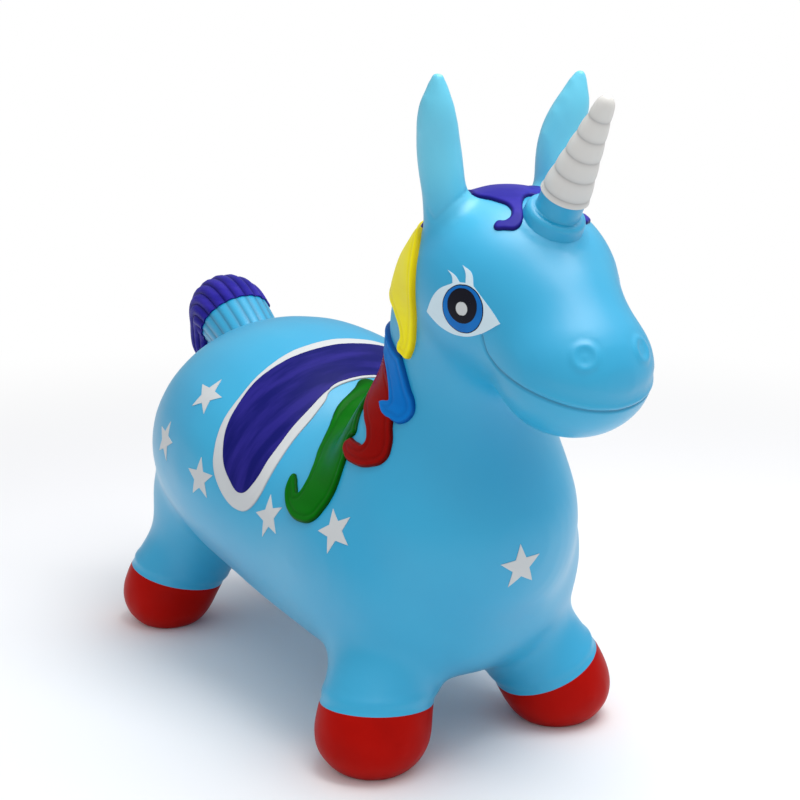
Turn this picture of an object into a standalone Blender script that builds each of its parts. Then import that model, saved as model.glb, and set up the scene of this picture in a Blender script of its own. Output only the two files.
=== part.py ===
"""Inflatable unicorn hopper, the kind a small child sits on and bounces.

One hollow soft-vinyl skin carries the hooves, a ringed horn, a fluted tail tuft, a mane in five
coloured locks, a saddle cloth, painted eyes and stars, and the push-in plug of its air valve.

Metres. +X is forward, +Y the animal's left, +Z up. The origin is on the floor under the middle.
Side outlines are (x, z) pairs, the forelock is (x, y), and eye outlines are (forward, up) pairs
measured from the middle of the eye.
"""

import math

import bmesh
import bpy
from mathutils import Matrix, Vector
from mathutils.bvhtree import BVHTree

# Fits and walls
CLEARANCE = 0.0003
SKIN_WALL = 0.0018
LOCK_RELIEF = 0.0040
FORELOCK_RELIEF = 0.0025
SADDLE_RELIEF = 0.0012
PAINT_RELIEF = 0.0006

# Faceting of the skin
BODY_VOXEL = 0.007
BODY_SMOOTHING = 24
DETAIL_VOXEL = 0.0056
DETAIL_SMOOTHING = 4
BODY_RELAXING = 0.5
SKIN_FACETS = 1650
ROUND_STEPS = 18
BALL_SEGMENTS = 32
SHARP_ANGLE = math.radians(35)

# Trunk: stations along the spine, each x, z and radius
TORSO = (
    (-0.287, 0.180, 0.020),
    (-0.272, 0.186, 0.052),
    (-0.212, 0.186, 0.098),
    (-0.107, 0.189, 0.121),
    (0.013, 0.153, 0.108),
    (0.108, 0.153, 0.107),
    (0.157, 0.170, 0.093),
    (0.183, 0.182, 0.057),
)
TORSO_WIDENING = 1.16
NECK = (
    (0.110, 0.120, 0.085),
    (0.122, 0.170, 0.104),
    (0.128, 0.235, 0.095),
    (0.145, 0.300, 0.067),
    (0.159, 0.350, 0.069),
    (0.171, 0.400, 0.064),
)

# Where the middle of the whole box falls in these stations, so that the root can centre it
BOX_MIDDLE_X = 0.0056

# Head
SKULL_CENTRE = (0.204, 0.385)
SKULL_RADII = (0.083, 0.080, 0.070)
SKULL_PITCH = math.radians(20)
MUZZLE_CENTRE = (0.279, 0.335)
MUZZLE_RADII = (0.056, 0.062, 0.052)
MUZZLE_PITCH = math.radians(19)
BRIDGE = (
    (0.193, 0.380, 0.060),
    (0.243, 0.364, 0.062),
    (0.283, 0.340, 0.048),
)

# Ears: stations of x, y, z and radius
EAR = (
    (0.183, 0.046, 0.400, 0.0214),
    (0.186, 0.050, 0.445, 0.0180),
    (0.188, 0.056, 0.490, 0.0168),
    (0.194, 0.062, 0.517, 0.0120),
    (0.194, 0.063, 0.543, 0.0055),
)

# Legs and hooves
HIP_HEIGHT = 0.130
HIP_TRACK = 0.050
HIP_RADIUS = 0.064
KNEE_HEIGHT = 0.080
KNEE_TRACK = 0.066
KNEE_RADIUS = 0.0465
HOOF_TRACK = 0.091
HOOF_HEIGHT = 0.051
PASTERN_HEIGHT = 0.031
PASTERN_TAPER = 0.96
HOOF_WIDEST = 0.022
FRONT_HOOF_X = 0.150
FRONT_HIP_X = 0.110
FRONT_HOOF_RADIUS = 0.050
REAR_HOOF_X = -0.232
REAR_HIP_X = -0.206
REAR_HOOF_RADIUS = 0.048
SOLE_TAPER = 0.64
SOLE_DEPTH = 0.006

# How each hoof's upper edge leans: up to the outside and up to the front, in degrees
HOOF_EDGES = {
    "hoof_front_right": (6, 6),
    "hoof_front_left": (24, 3),
    "hoof_rear_right": (11, -9),
    "hoof_rear_left": (14, -9),
}
HOOF_BLOCK_SPAN = 2.5
HOOF_BLOCK_DEPTH = 0.15

# Tail: stations of x, z and radius along a curled-over stub, and the ring where its colour changes
TAIL = (
    (-0.187, 0.242, 0.0309),
    (-0.231, 0.275, 0.0345),
    (-0.271, 0.292, 0.0376),
    (-0.297, 0.278, 0.0319),
    (-0.308, 0.264, 0.0165),
)
TAIL_HOLLOW = (-0.164, 0.225, 0.0309)
TAIL_RING = (-0.2385, 0.287)
TAIL_RING_PITCH = math.radians(40)
TAIL_FLUTES = 14
TAIL_FLUTE_STEPS = 3
TAIL_FLUTE_DEPTH = 0.09
TAIL_OVERHANG = 1.06

# Horn: stacked rings, each (share of its height, share of its step) down the ring's outside
HORN_LEAN = math.radians(33)
HORN_FOOT_X = 0.2508
HORN_LENGTH = 0.0825
HORN_BASE_RADIUS = 0.0178
HORN_TIP_RADIUS = 0.0065
HORN_TIP_ROUNDING = (0.6, 0.2)
HORN_RINGS = 6
HORN_RING_STEP = 0.0013
HORN_RING_SHAPE = ((0.75, -0.5), (0.35, 0.55), (0.05, 1.0))
HORN_HOLLOW = 0.9
HORN_OVERHANG = 0.0012

# Collar under the horn: a short cylinder that stands on a broader ring on the forehead
COLLAR_HEIGHT = 0.0234
COLLAR_FILLET = 0.0015
COLLAR_RING_RADIUS = 0.0240
COLLAR_RING_HEIGHT = 0.0090
COLLAR_RING_EDGE = 0.0025
COLLAR_ROOT = 0.012

# Mane locks, from the poll down; a point marked True is a corner
YELLOW_LOCK = (
    (0.085, 0.440, True), (0.160, 0.4245, True), (0.1755, 0.4165), (0.186, 0.398),
    (0.185, 0.375), (0.175, 0.350), (0.1675, 0.334), (0.161, 0.3275), (0.1525, 0.333),
    (0.158, 0.3455), (0.1515, 0.3595), (0.135, 0.369), (0.070, 0.385, True),
)
BLUE_LOCK = (
    (0.065, 0.364, True), (0.134, 0.349), (0.147, 0.3355), (0.1565, 0.330, True), (0.158, 0.3205),
    (0.1655, 0.302), (0.1685, 0.2875), (0.160, 0.278), (0.146, 0.2805), (0.1355, 0.2895, True),
    (0.1445, 0.294, True), (0.136, 0.3045), (0.125, 0.318), (0.065, 0.332, True),
)
RED_LOCK = (
    (0.060, 0.336, True), (0.125, 0.320, True), (0.1475, 0.295), (0.1565, 0.2675),
    (0.157, 0.2525), (0.1485, 0.2445), (0.130, 0.2415), (0.114, 0.2455), (0.1095, 0.254),
    (0.1145, 0.258, True), (0.1275, 0.2575), (0.1305, 0.265), (0.1145, 0.282),
    (0.1035, 0.2965, True), (0.060, 0.306, True),
)
GREEN_LOCK = (
    (0.002, 0.330, True), (0.100, 0.318, True), (0.1045, 0.280), (0.113, 0.2635), (0.1125, 0.256),
    (0.115, 0.236), (0.110, 0.209), (0.098, 0.192), (0.078, 0.188), (0.0575, 0.1935),
    (0.0455, 0.2065), (0.048, 0.214), (0.0555, 0.2105), (0.065, 0.2055), (0.0655, 0.217),
    (0.042, 0.2415), (0.0065, 0.274), (0.002, 0.280, True),
)
FORELOCK = (
    (0.095, -0.040), (0.130, -0.050), (0.155, -0.046), (0.166, -0.027), (0.178, -0.0175),
    (0.188, -0.0195), (0.1985, -0.0340, True), (0.2065, -0.0295), (0.2185, -0.0262), (0.2295, -0.0237),
    (0.2365, -0.0270), (0.2385, -0.0325), (0.2350, -0.0385), (0.2375, -0.0425), (0.2440, -0.0375),
    (0.2485, -0.0300), (0.2455, -0.0220), (0.2365, -0.0160), (0.2275, -0.0090), (0.2230, -0.0030),
)

# Saddle cloth laid across the back behind the neck
SADDLE = (
    (-0.055, 0.335, True), (-0.0535, 0.289), (-0.049, 0.2265), (-0.033, 0.190),
    (-0.0065, 0.1753), (0.0105, 0.1825), (0.018, 0.207), (0.0165, 0.2365),
    (0.008, 0.2625), (-0.001, 0.280), (-0.001, 0.335, True),
)
SADDLE_CLOTH = (
    (-0.044, 0.335, True), (-0.0475, 0.295), (-0.0497, 0.271), (-0.0435, 0.239),
    (-0.0265, 0.203), (-0.0055, 0.1897), (0.0055, 0.200), (0.009, 0.2265),
    (0.0065, 0.2535), (-0.003, 0.279), (-0.004, 0.335, True),
)

# Nostrils: a raised rim round a shallow dish, and the mouth: a groove from under one eye to the other
NOSTRIL_AT = (-0.0256, 0.3524)
NOSTRIL_RADIUS = 0.0078
NOSTRIL_RIM = 0.0034
NOSTRIL_RISE = 0.0018
NOSTRIL_DISH = 0.0006
MOUTH_RIGHT = (
    (0.2515, -0.0600, 0.3565), (0.2580, -0.0580, 0.3505), (0.2670, -0.0575, 0.3455),
    (0.2900, -0.0570, 0.3385), (0.3085, -0.0485, 0.3310), (0.3210, -0.0325, 0.3215),
    (0.3265, -0.0150, 0.3145),
)
MOUTH_FRONT = (0.3270, 0.0, 0.3115)
MOUTH_RADIUS = 0.0030
MOUTH_DEPTH = 0.0008

# Eyes
EYE_AT = (0.2385, 0.377)
EYE_WHITE = (
    (-0.0345, -0.0065, True), (-0.0215, 0.0112), (-0.0072, 0.0178, True),
    (-0.0076, 0.0228), (-0.0108, 0.0272, True), (-0.0045, 0.0234), (-0.0003, 0.0188, True),
    (0.0038, 0.0185, True), (0.0036, 0.0258), (0.0014, 0.0321, True), (0.0078, 0.0260),
    (0.0098, 0.0160, True), (0.0174, 0.0074), (0.0298, -0.0078, True),
    (0.0120, -0.0172), (-0.0040, -0.0202), (-0.0200, -0.0163),
)
IRIS_RADII = (0.0160, 0.0167)
PUPIL_RADII = (0.0119, 0.0125)
PUPIL_RISE = 0.0024
GLINT_RADII = (0.0046, 0.0049)
GLINT_RISE = 0.0006

# Stars: x and z on the flank, and how far one point is turned from straight ahead
STAR_RADIUS = 0.0185
STAR_WAIST = 0.43
STAR_POINTS = 5
FLANK_STARS = (
    (-0.0895, 0.2560, 7),
    (-0.1320, 0.2095, 6),
    (-0.0605, 0.1915, 19),
    (0.0340, 0.1790, 38),
    (0.1265, 0.1905, 48),
)
CHEST_STAR_AT = (-0.004, 0.1705)
CHEST_STAR_TURN = 23

# Air valve under the belly
VALVE_X = -0.030
VALVE_BOSS_RADIUS = 0.013
VALVE_BOSS_DEPTH = 0.012
VALVE_BOSS_PROUD = 0.0026
VALVE_BORE_RADIUS = 0.005
PLUG_FLANGE_RADIUS = 0.011
PLUG_FLANGE_THICKNESS = 0.0025
PLUG_FLANGE_EDGE = 0.00075
PLUG_DISH_RADII = (0.0055, 0.0077)
PLUG_STEM_LENGTH = 0.020
PLUG_RIBS = 2
PLUG_RIB_HEIGHT = 0.0007
PLUG_TIP_TAPER = 0.7

# Colours and finish of each material: red, green, blue, roughness
FINISHES = {
    "sky_blue_vinyl": (0.06, 0.46, 0.78, 0.42),
    "hoof_red_vinyl": (0.38, 0.008, 0.002, 0.45),
    "horn_white_vinyl": (0.80, 0.80, 0.82, 0.40),
    "purple_paint": (0.035, 0.014, 0.32, 0.35),
    "yellow_paint": (0.86, 0.74, 0.03, 0.35),
    "blue_paint": (0.0, 0.19, 0.66, 0.35),
    "red_paint": (0.32, 0.008, 0.006, 0.30),
    "green_paint": (0.004, 0.19, 0.008, 0.30),
    "white_paint": (0.78, 0.78, 0.80, 0.45),
    "iris_paint": (0.006, 0.17, 0.52, 0.35),
    "pupil_paint": (0.006, 0.005, 0.012, 0.30),
    "plug_plastic": (0.82, 0.82, 0.80, 0.50),
}

REACH = 0.25
FLOOR_SPAN = 1.0
STAR_REACH = 0.012
EYE_REACH = 0.020
WELD = 1e-6
SEAM = 1e-4


def clear_scene():
    """Remove every object from the open file."""
    for obj in list(bpy.data.objects):
        bpy.data.objects.remove(obj)


def new_collection(name):
    """Return a new collection linked to the scene."""
    collection = bpy.data.collections.new(name)
    bpy.context.scene.collection.children.link(collection)
    return collection


def evaluated_mesh(obj):
    """Return the object's evaluated mesh in world space, with its loose caps welded."""
    bpy.context.view_layer.update()
    depsgraph = bpy.context.evaluated_depsgraph_get()
    mesh = bpy.data.meshes.new_from_object(obj.evaluated_get(depsgraph))
    mesh.transform(obj.matrix_world)
    shape = bmesh.new()
    shape.from_mesh(mesh)
    bmesh.ops.remove_doubles(shape, verts=shape.verts, dist=WELD)
    shape.to_mesh(mesh)
    shape.free()
    return mesh


def baked(source, matrix=None):
    """Evaluate a temporary object to a mesh and remove the object."""
    if matrix is not None:
        source.matrix_world = matrix
    mesh = evaluated_mesh(source)
    bpy.data.objects.remove(source)
    return mesh


def temporary(name, data):
    """Link a temporary object to the cutters."""
    obj = bpy.data.objects.new(name, data)
    CUTTERS.objects.link(obj)
    return obj


def cutter(name, mesh):
    """Keep a mesh as a wire cutter."""
    obj = temporary(name, mesh)
    obj.hide_render = True
    obj.display_type = "WIRE"
    return obj


def flipped(mesh):
    """Turn a mesh inside out and return it."""
    mesh.flip_normals()
    return mesh


def mirrored(mesh):
    """Return a copy of a mesh on the other side of the mid-plane."""
    copy = mesh.copy()
    copy.transform(Matrix.Scale(-1, 4, (0, 1, 0)))
    return flipped(copy)


def joined(meshes):
    """Return one mesh that holds all the given ones."""
    shape = bmesh.new()
    for mesh in meshes:
        shape.from_mesh(mesh)
    result = bpy.data.meshes.new("joined")
    shape.to_mesh(result)
    shape.free()
    return result


def outward(mesh):
    """Point the faces of a closed mesh outwards and return it."""
    shape = bmesh.new()
    shape.from_mesh(mesh)
    bmesh.ops.recalc_face_normals(shape, faces=shape.faces)
    shape.to_mesh(mesh)
    shape.free()
    return mesh


def tube(stations, widening=1.0, ring=None, resolution=8):
    """Return a closed tube through (x, y, z, radius) stations, widened across the mid-plane."""
    curve = bpy.data.curves.new("tube", "CURVE")
    curve.dimensions = "3D"
    curve.resolution_u = resolution
    curve.use_fill_caps = True
    if ring:
        curve.bevel_mode = "OBJECT"
        curve.bevel_object = ring
    else:
        curve.bevel_depth = 1.0
        curve.bevel_resolution = resolution
    spline = curve.splines.new("BEZIER")
    spline.radius_interpolation = "CARDINAL"
    spline.bezier_points.add(len(stations) - 1)
    for point, (x, y, z, radius) in zip(spline.bezier_points, stations):
        point.co = (x, y / widening, z)
        point.radius = radius
        point.handle_left_type = point.handle_right_type = "AUTO"
    return outward(baked(temporary("tube", curve), Matrix.Diagonal((1, widening, 1, 1))))


def spine(stations):
    """Put (x, z, radius) stations on the mid-plane."""
    return tuple((x, 0.0, z, radius) for x, z, radius in stations)


def ball(centre, radii, pitch):
    """Return an ellipsoid on the mid-plane, pitched nose down."""
    shape = bmesh.new()
    bmesh.ops.create_uvsphere(shape, u_segments=BALL_SEGMENTS, v_segments=BALL_SEGMENTS // 2, radius=1.0)
    mesh = bpy.data.meshes.new("ball")
    shape.to_mesh(mesh)
    shape.free()
    place = Matrix.Translation((centre[0], 0.0, centre[1]))
    mesh.transform(place @ Matrix.Rotation(pitch, 4, "Y") @ Matrix.Diagonal((*radii, 1)))
    return mesh


def block(size, matrix):
    """Return a box of the given size, placed by a matrix."""
    shape = bmesh.new()
    bmesh.ops.create_cube(shape, size=1.0)
    mesh = bpy.data.meshes.new("block")
    shape.to_mesh(mesh)
    shape.free()
    mesh.transform(matrix @ Matrix.Diagonal((*size, 1)))
    return mesh


def turned(profile, steps, matrix):
    """Return a closed turned solid from (radius, height) points that start and end on the axis."""
    mesh = bpy.data.meshes.new("profile")
    edges = [(i, i + 1) for i in range(len(profile) - 1)]
    mesh.from_pydata([(radius, 0.0, height) for radius, height in profile], edges, [])
    obj = temporary("turned", mesh)
    screw = obj.modifiers.new("turn", "SCREW")
    screw.steps = screw.render_steps = steps
    screw.use_merge_vertices = True
    screw.merge_threshold = WELD
    return outward(baked(obj, matrix))


def prism(outline, reach, matrix, grow=0.0, resolution=2):
    """Return a bar whose section is a closed (x, y) outline, extending reach both ways."""
    curve = bpy.data.curves.new("outline", "CURVE")
    curve.dimensions = "2D"
    curve.fill_mode = "BOTH"
    curve.resolution_u = resolution
    curve.extrude = reach
    curve.offset = grow
    spline = curve.splines.new("BEZIER")
    spline.use_cyclic_u = True
    spline.bezier_points.add(len(outline) - 1)
    for point, (x, y, *corner) in zip(spline.bezier_points, outline):
        point.co = (x, y, 0.0)
        point.handle_left_type = point.handle_right_type = "VECTOR" if corner else "AUTO"
    return outward(baked(temporary("outline", curve), matrix))


def ellipse(radii, rise=0.0, grow=0.0, points=10):
    """Return the (x, y) points of an ellipse, lifted by rise."""
    turns = [2 * math.pi * i / points for i in range(points)]
    return [((radii[0] + grow) * math.cos(t), (radii[1] + grow) * math.sin(t) + rise) for t in turns]


def star(turn):
    """Return the corners of a star, one point turned by the given degrees."""
    corners = []
    for i in range(2 * STAR_POINTS):
        radius = STAR_RADIUS * (STAR_WAIST if i % 2 else 1.0)
        angle = math.radians(turn) + math.pi * i / STAR_POINTS
        corners.append((radius * math.cos(angle), radius * math.sin(angle), True))
    return corners


def boolean(mesh, *steps):
    """Return a mesh after (operation, cutter object) Boolean steps."""
    obj = temporary("worked", mesh)
    for operation, tool in steps:
        modifier = obj.modifiers.new(operation.lower(), "BOOLEAN")
        modifier.operation = operation
        modifier.object = tool
    return baked(obj)


def modified(mesh, kind, **settings):
    """Return a mesh after one modifier."""
    obj = temporary("worked", mesh)
    modifier = obj.modifiers.new(kind.lower(), kind)
    for name, value in settings.items():
        setattr(modifier, name, value)
    return baked(obj)


def rounded(mesh, voxel, smoothing):
    """Fuse overlapping closed forms into one skin and relax its creases."""
    fused = modified(mesh, "REMESH", mode="VOXEL", voxel_size=voxel)
    return modified(fused, "SMOOTH", factor=BODY_RELAXING, iterations=smoothing)


def leg(hip_x, hoof_x, hoof_radius):
    """Return the animal's left leg, from inside the trunk to below the floor."""
    return tube((
        (hip_x, HIP_TRACK, HIP_HEIGHT, HIP_RADIUS),
        ((hip_x + hoof_x) / 2, KNEE_TRACK, KNEE_HEIGHT, KNEE_RADIUS),
        (hoof_x, HOOF_TRACK, PASTERN_HEIGHT, hoof_radius * PASTERN_TAPER),
        (hoof_x, HOOF_TRACK, HOOF_WIDEST, hoof_radius),
        (hoof_x, HOOF_TRACK, -SOLE_DEPTH, hoof_radius * SOLE_TAPER),
    ))


def build_form():
    """Return the closed outer surface of the blown skin, symmetric and flat-soled."""
    front = leg(FRONT_HIP_X, FRONT_HOOF_X, FRONT_HOOF_RADIUS)
    rear = leg(REAR_HIP_X, REAR_HOOF_X, REAR_HOOF_RADIUS)
    trunk = joined([
        tube(spine(TORSO), TORSO_WIDENING),
        tube(spine(NECK)),
        tube(spine(BRIDGE)),
        ball(SKULL_CENTRE, SKULL_RADII, SKULL_PITCH),
        ball(MUZZLE_CENTRE, MUZZLE_RADII, MUZZLE_PITCH),
        front, mirrored(front), rear, mirrored(rear),
    ])
    ear = tube(EAR)
    whole = joined([rounded(trunk, BODY_VOXEL, BODY_SMOOTHING), ear, mirrored(ear)])
    fine = rounded(whole, DETAIL_VOXEL, DETAIL_SMOOTHING)
    floor = block((FLOOR_SPAN, FLOOR_SPAN, REACH), Matrix.Translation((0.0, 0.0, -REACH / 2)))
    standing = boolean(fine, ("DIFFERENCE", cutter("floor_cutter", floor)))
    across = (False, True, False)
    even = modified(standing, "MIRROR", use_axis=across, use_bisect_axis=across,
                    bisect_threshold=SEAM, merge_threshold=SEAM)
    even.calc_loop_triangles()
    ratio = SKIN_FACETS / len(even.loop_triangles)
    coarse = modified(even, "DECIMATE", ratio=ratio, use_symmetry=True, symmetry_axis="Y",
                      use_collapse_triangulate=True)
    for vertex in coarse.vertices:
        if vertex.co.z < CLEARANCE:
            vertex.co.z = 0.0
    return coarse


def surface_at(origin, direction, spread):
    """Return where a ray meets the form, and the mean normal within a spread of that point."""
    point = SURFACE.ray_cast(Vector(origin), Vector(direction))[0]
    normals = [hit[1] for hit in SURFACE.find_nearest_range(point, spread)]
    return point, sum(normals, Vector()).normalized()


def tangent_frame(origin, direction, spread):
    """Return a frame on the form: x level, y up the slope and z outwards."""
    point, normal = surface_at(origin, direction, spread)
    level = Vector((0, 0, 1)).cross(normal).normalized()
    up = normal.cross(level)
    frame = Matrix((level, up, normal)).transposed().to_4x4()
    return Matrix.Translation(point) @ frame


def layer(distance):
    """Return the form swollen by a distance, as a cutter."""
    if distance not in LAYERS:
        swollen = modified(FORM.copy(), "DISPLACE", strength=distance, mid_level=0.0)
        LAYERS[distance] = cutter(f"form_plus_{distance * 1e6:.0f}_microns", swollen)
    return LAYERS[distance]


def relief(bar, height, minus=()):
    """Return the raised piece that a bar picks out of the form's surface, a clearance above it."""
    steps = [("DIFFERENCE", tool) for tool in minus]
    steps.append(("INTERSECT", layer(CLEARANCE + height)))
    steps.append(("DIFFERENCE", layer(CLEARANCE)))
    return boolean(bar, *steps)


def side_bar(outline, grow=0.0):
    """Return a bar across the animal whose section is an (x, z) outline."""
    return prism(outline, REACH, Matrix.Rotation(math.pi / 2, 4, "X"), grow)


def material(finish):
    """Return the Principled material of a named finish, made once."""
    if finish in bpy.data.materials:
        return bpy.data.materials[finish]
    made = bpy.data.materials.new(finish)
    made.use_nodes = True
    red, green, blue, roughness = FINISHES[finish]
    shader = made.node_tree.nodes["Principled BSDF"]
    shader.inputs["Base Color"].default_value = (red, green, blue, 1.0)
    shader.inputs["Roughness"].default_value = roughness
    shader.inputs["Metallic"].default_value = 0.0
    made.diffuse_color = (red, green, blue, 1.0)
    return made


def add_part(name, mesh, finish, matrix=None):
    """Add a finished sub-part under the hopper's root empty."""
    mesh.name = name
    mesh.materials.clear()
    mesh.materials.append(material(finish))
    mesh.shade_smooth()
    mesh.set_sharp_from_angle(angle=SHARP_ANGLE)
    obj = bpy.data.objects.new(name, mesh)
    PARTS.objects.link(obj)
    obj.parent = ROOT
    if matrix is not None:
        obj.matrix_local = matrix
    return obj


def add_pair(name, mesh, finish):
    """Add a right-hand part and its mirror image on the left."""
    add_part(f"{name}_left", mirrored(mesh), finish)
    add_part(f"{name}_right", mesh, finish)


def horn_frame():
    """Return the frame of the horn: its foot on the forehead, leaning forward."""
    foot, _ = surface_at((HORN_FOOT_X, 0, 1), (0, 0, -1), HORN_BASE_RADIUS)
    return Matrix.Translation(foot) @ Matrix.Rotation(HORN_LEAN, 4, "Y")


def collar_profile(grow=0.0):
    """Return the turned profile of the collar that carries the horn and the ring it stands on."""
    radius = HORN_BASE_RADIUS - HORN_OVERHANG + grow
    ring = COLLAR_RING_RADIUS + grow
    step = COLLAR_RING_HEIGHT + grow
    return (
        (0.0, COLLAR_HEIGHT + grow),
        (radius, COLLAR_HEIGHT + grow),
        (radius, step + COLLAR_FILLET),
        (radius + COLLAR_FILLET, step),
        (ring - COLLAR_RING_EDGE, step),
        (ring, step - COLLAR_RING_EDGE),
        (ring, -COLLAR_ROOT),
        (0.0, -COLLAR_ROOT),
    )


def rod(radius, low, high, matrix):
    """Return a plain round bar along the frame's z axis."""
    return turned(((0.0, high), (radius, high), (radius, low), (0.0, low)), ROUND_STEPS, matrix)


def build_horn():
    """Return the hollow horn: rings that each flare out over the one below."""
    ring_height = HORN_LENGTH / HORN_RINGS
    slope = (HORN_BASE_RADIUS - HORN_TIP_RADIUS) / HORN_LENGTH
    round_radius, round_drop = (HORN_TIP_RADIUS * share for share in HORN_TIP_ROUNDING)
    profile = [(0.0, HORN_LENGTH), (round_radius, HORN_LENGTH - round_drop)]
    for ring in reversed(range(HORN_RINGS)):
        for share, flare in HORN_RING_SHAPE:
            height = (ring + share) * ring_height
            profile.append((HORN_BASE_RADIUS - slope * height + (flare - 1.0) * HORN_RING_STEP, height))
    hollow_top = HORN_LENGTH * HORN_HOLLOW
    profile.append((HORN_BASE_RADIUS - HORN_RING_STEP - SKIN_WALL, 0.0))
    profile.append((HORN_TIP_RADIUS - SKIN_WALL, hollow_top))
    profile.append((0.0, hollow_top))
    return turned(profile, ROUND_STEPS, Matrix())


def flute_ring():
    """Return a closed curve of unit radius with a scallop for each flute of the tail."""
    curve = bpy.data.curves.new("tail_section", "CURVE")
    curve.dimensions = "2D"
    curve.fill_mode = "NONE"
    spline = curve.splines.new("POLY")
    spline.use_cyclic_u = True
    count = TAIL_FLUTES * TAIL_FLUTE_STEPS
    spline.points.add(count - 1)
    for i, point in enumerate(spline.points):
        angle = 2 * math.pi * i / count
        radius = 1.0 - TAIL_FLUTE_DEPTH * (0.5 - 0.5 * math.cos(TAIL_FLUTES * angle))
        point.co = (radius * math.cos(angle), radius * math.sin(angle), 0.0, 1.0)
    obj = temporary("tail_section", curve)
    obj.hide_render = True
    obj.display_type = "WIRE"
    return obj


def tail_side(gap):
    """Return a block that covers the tail beyond its colour ring, moved out by a gap."""
    ring = Matrix.Translation((TAIL_RING[0], 0.0, TAIL_RING[1]))
    frame = ring @ Matrix.Rotation(TAIL_RING_PITCH - math.pi / 2, 4, "Y")
    return block((REACH, REACH, REACH), frame @ Matrix.Translation((0, 0, REACH / 2 + gap)))


def build_tail():
    """Return the fluted stub, the tuft that caps it and the hollow through both."""
    ring = flute_ring()
    stub = tube(spine((x, z, r / TAIL_OVERHANG) for x, z, r in TAIL), ring=ring, resolution=2)
    stub = boolean(stub, ("DIFFERENCE", cutter("tail_tuft_side", tail_side(0.0))))
    thin = 1.0 / TAIL_OVERHANG - TAIL_FLUTE_DEPTH
    inside = spine((x, z, r * thin - SKIN_WALL) for x, z, r in (TAIL_HOLLOW, *TAIL[:-1]))
    hollow = cutter("tail_hollow", tube(inside, resolution=2))
    tuft = tube(spine(TAIL), ring=ring, resolution=2)
    side = cutter("tail_tuft_side_clear", tail_side(CLEARANCE))
    tuft = boolean(tuft, ("INTERSECT", side), ("DIFFERENCE", hollow))
    return stub, tuft, hollow


def hoof_block(name, gap):
    """Return the block below a hoof's leaning upper edge, raised by a gap."""
    front = "front" in name
    side = 1 if name.endswith("left") else -1
    radius = FRONT_HOOF_RADIUS if front else REAR_HOOF_RADIUS
    x = FRONT_HOOF_X if front else REAR_HOOF_X
    outward_lean, forward_lean = (math.radians(angle) for angle in HOOF_EDGES[name])
    frame = Matrix.Translation((x, side * HOOF_TRACK, HOOF_HEIGHT))
    frame = frame @ Matrix.Rotation(side * outward_lean, 4, "X") @ Matrix.Rotation(-forward_lean, 4, "Y")
    size = (radius * HOOF_BLOCK_SPAN, radius * HOOF_BLOCK_SPAN, HOOF_BLOCK_DEPTH)
    return block(size, frame @ Matrix.Translation((0, 0, gap - HOOF_BLOCK_DEPTH / 2)))


def valve_frame():
    """Return the frame of the air valve: its seat under the belly, z down and out."""
    seat, _ = surface_at((VALVE_X, 0, -1), (0, 0, 1), VALVE_BOSS_RADIUS)
    return Matrix.Translation(seat) @ Matrix.Rotation(math.pi, 4, "X")


def build_plug():
    """Return the valve plug: a flange and a stem ringed by sealing ribs."""
    tip = VALVE_BORE_RADIUS - CLEARANCE
    core = tip - PLUG_RIB_HEIGHT
    dish = PLUG_FLANGE_THICKNESS - PLUG_FLANGE_EDGE
    profile = [
        (0.0, dish),
        (PLUG_DISH_RADII[0], dish),
        (PLUG_DISH_RADII[1], PLUG_FLANGE_THICKNESS),
        (PLUG_FLANGE_RADIUS - PLUG_FLANGE_EDGE, PLUG_FLANGE_THICKNESS),
        (PLUG_FLANGE_RADIUS, dish),
        (PLUG_FLANGE_RADIUS, 0.0),
        (core, 0.0),
    ]
    pitch = PLUG_STEM_LENGTH / (PLUG_RIBS + 1)
    for rib in range(PLUG_RIBS):
        middle = -(rib + 0.75) * pitch
        profile.append((core, middle + pitch / 4))
        profile.append((tip, middle))
        profile.append((core, middle - pitch / 4))
    profile.append((core, pitch - PLUG_STEM_LENGTH))
    profile.append((core * PLUG_TIP_TAPER, -PLUG_STEM_LENGTH))
    profile.append((0.0, -PLUG_STEM_LENGTH))
    return turned(profile, ROUND_STEPS, Matrix())


def build_nostril():
    """Return the right nostril's rim and dish, rooted in the skin."""
    low = -SKIN_WALL / 2
    outer = NOSTRIL_RADIUS + NOSTRIL_RIM
    inner = NOSTRIL_RADIUS - NOSTRIL_RIM
    profile = (
        (0.0, NOSTRIL_DISH),
        (inner, NOSTRIL_DISH),
        (NOSTRIL_RADIUS, NOSTRIL_RISE),
        (outer, low),
        (0.0, 2 * low),
    )
    at = tangent_frame((1, *NOSTRIL_AT), (-1, 0, 0), outer)
    return turned(profile, ROUND_STEPS, at)


def build_mouth():
    """Return the bead that presses the mouth's groove into the skin."""
    left = [(x, -y, z) for x, y, z in reversed(MOUTH_RIGHT)]
    stations = []
    for place in (*MOUTH_RIGHT, MOUTH_FRONT, *left):
        point, normal = SURFACE.find_nearest(Vector(place))[:2]
        stations.append((*(point + normal * (MOUTH_RADIUS - MOUTH_DEPTH)), MOUTH_RADIUS))
    return tube(stations, resolution=1)


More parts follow.
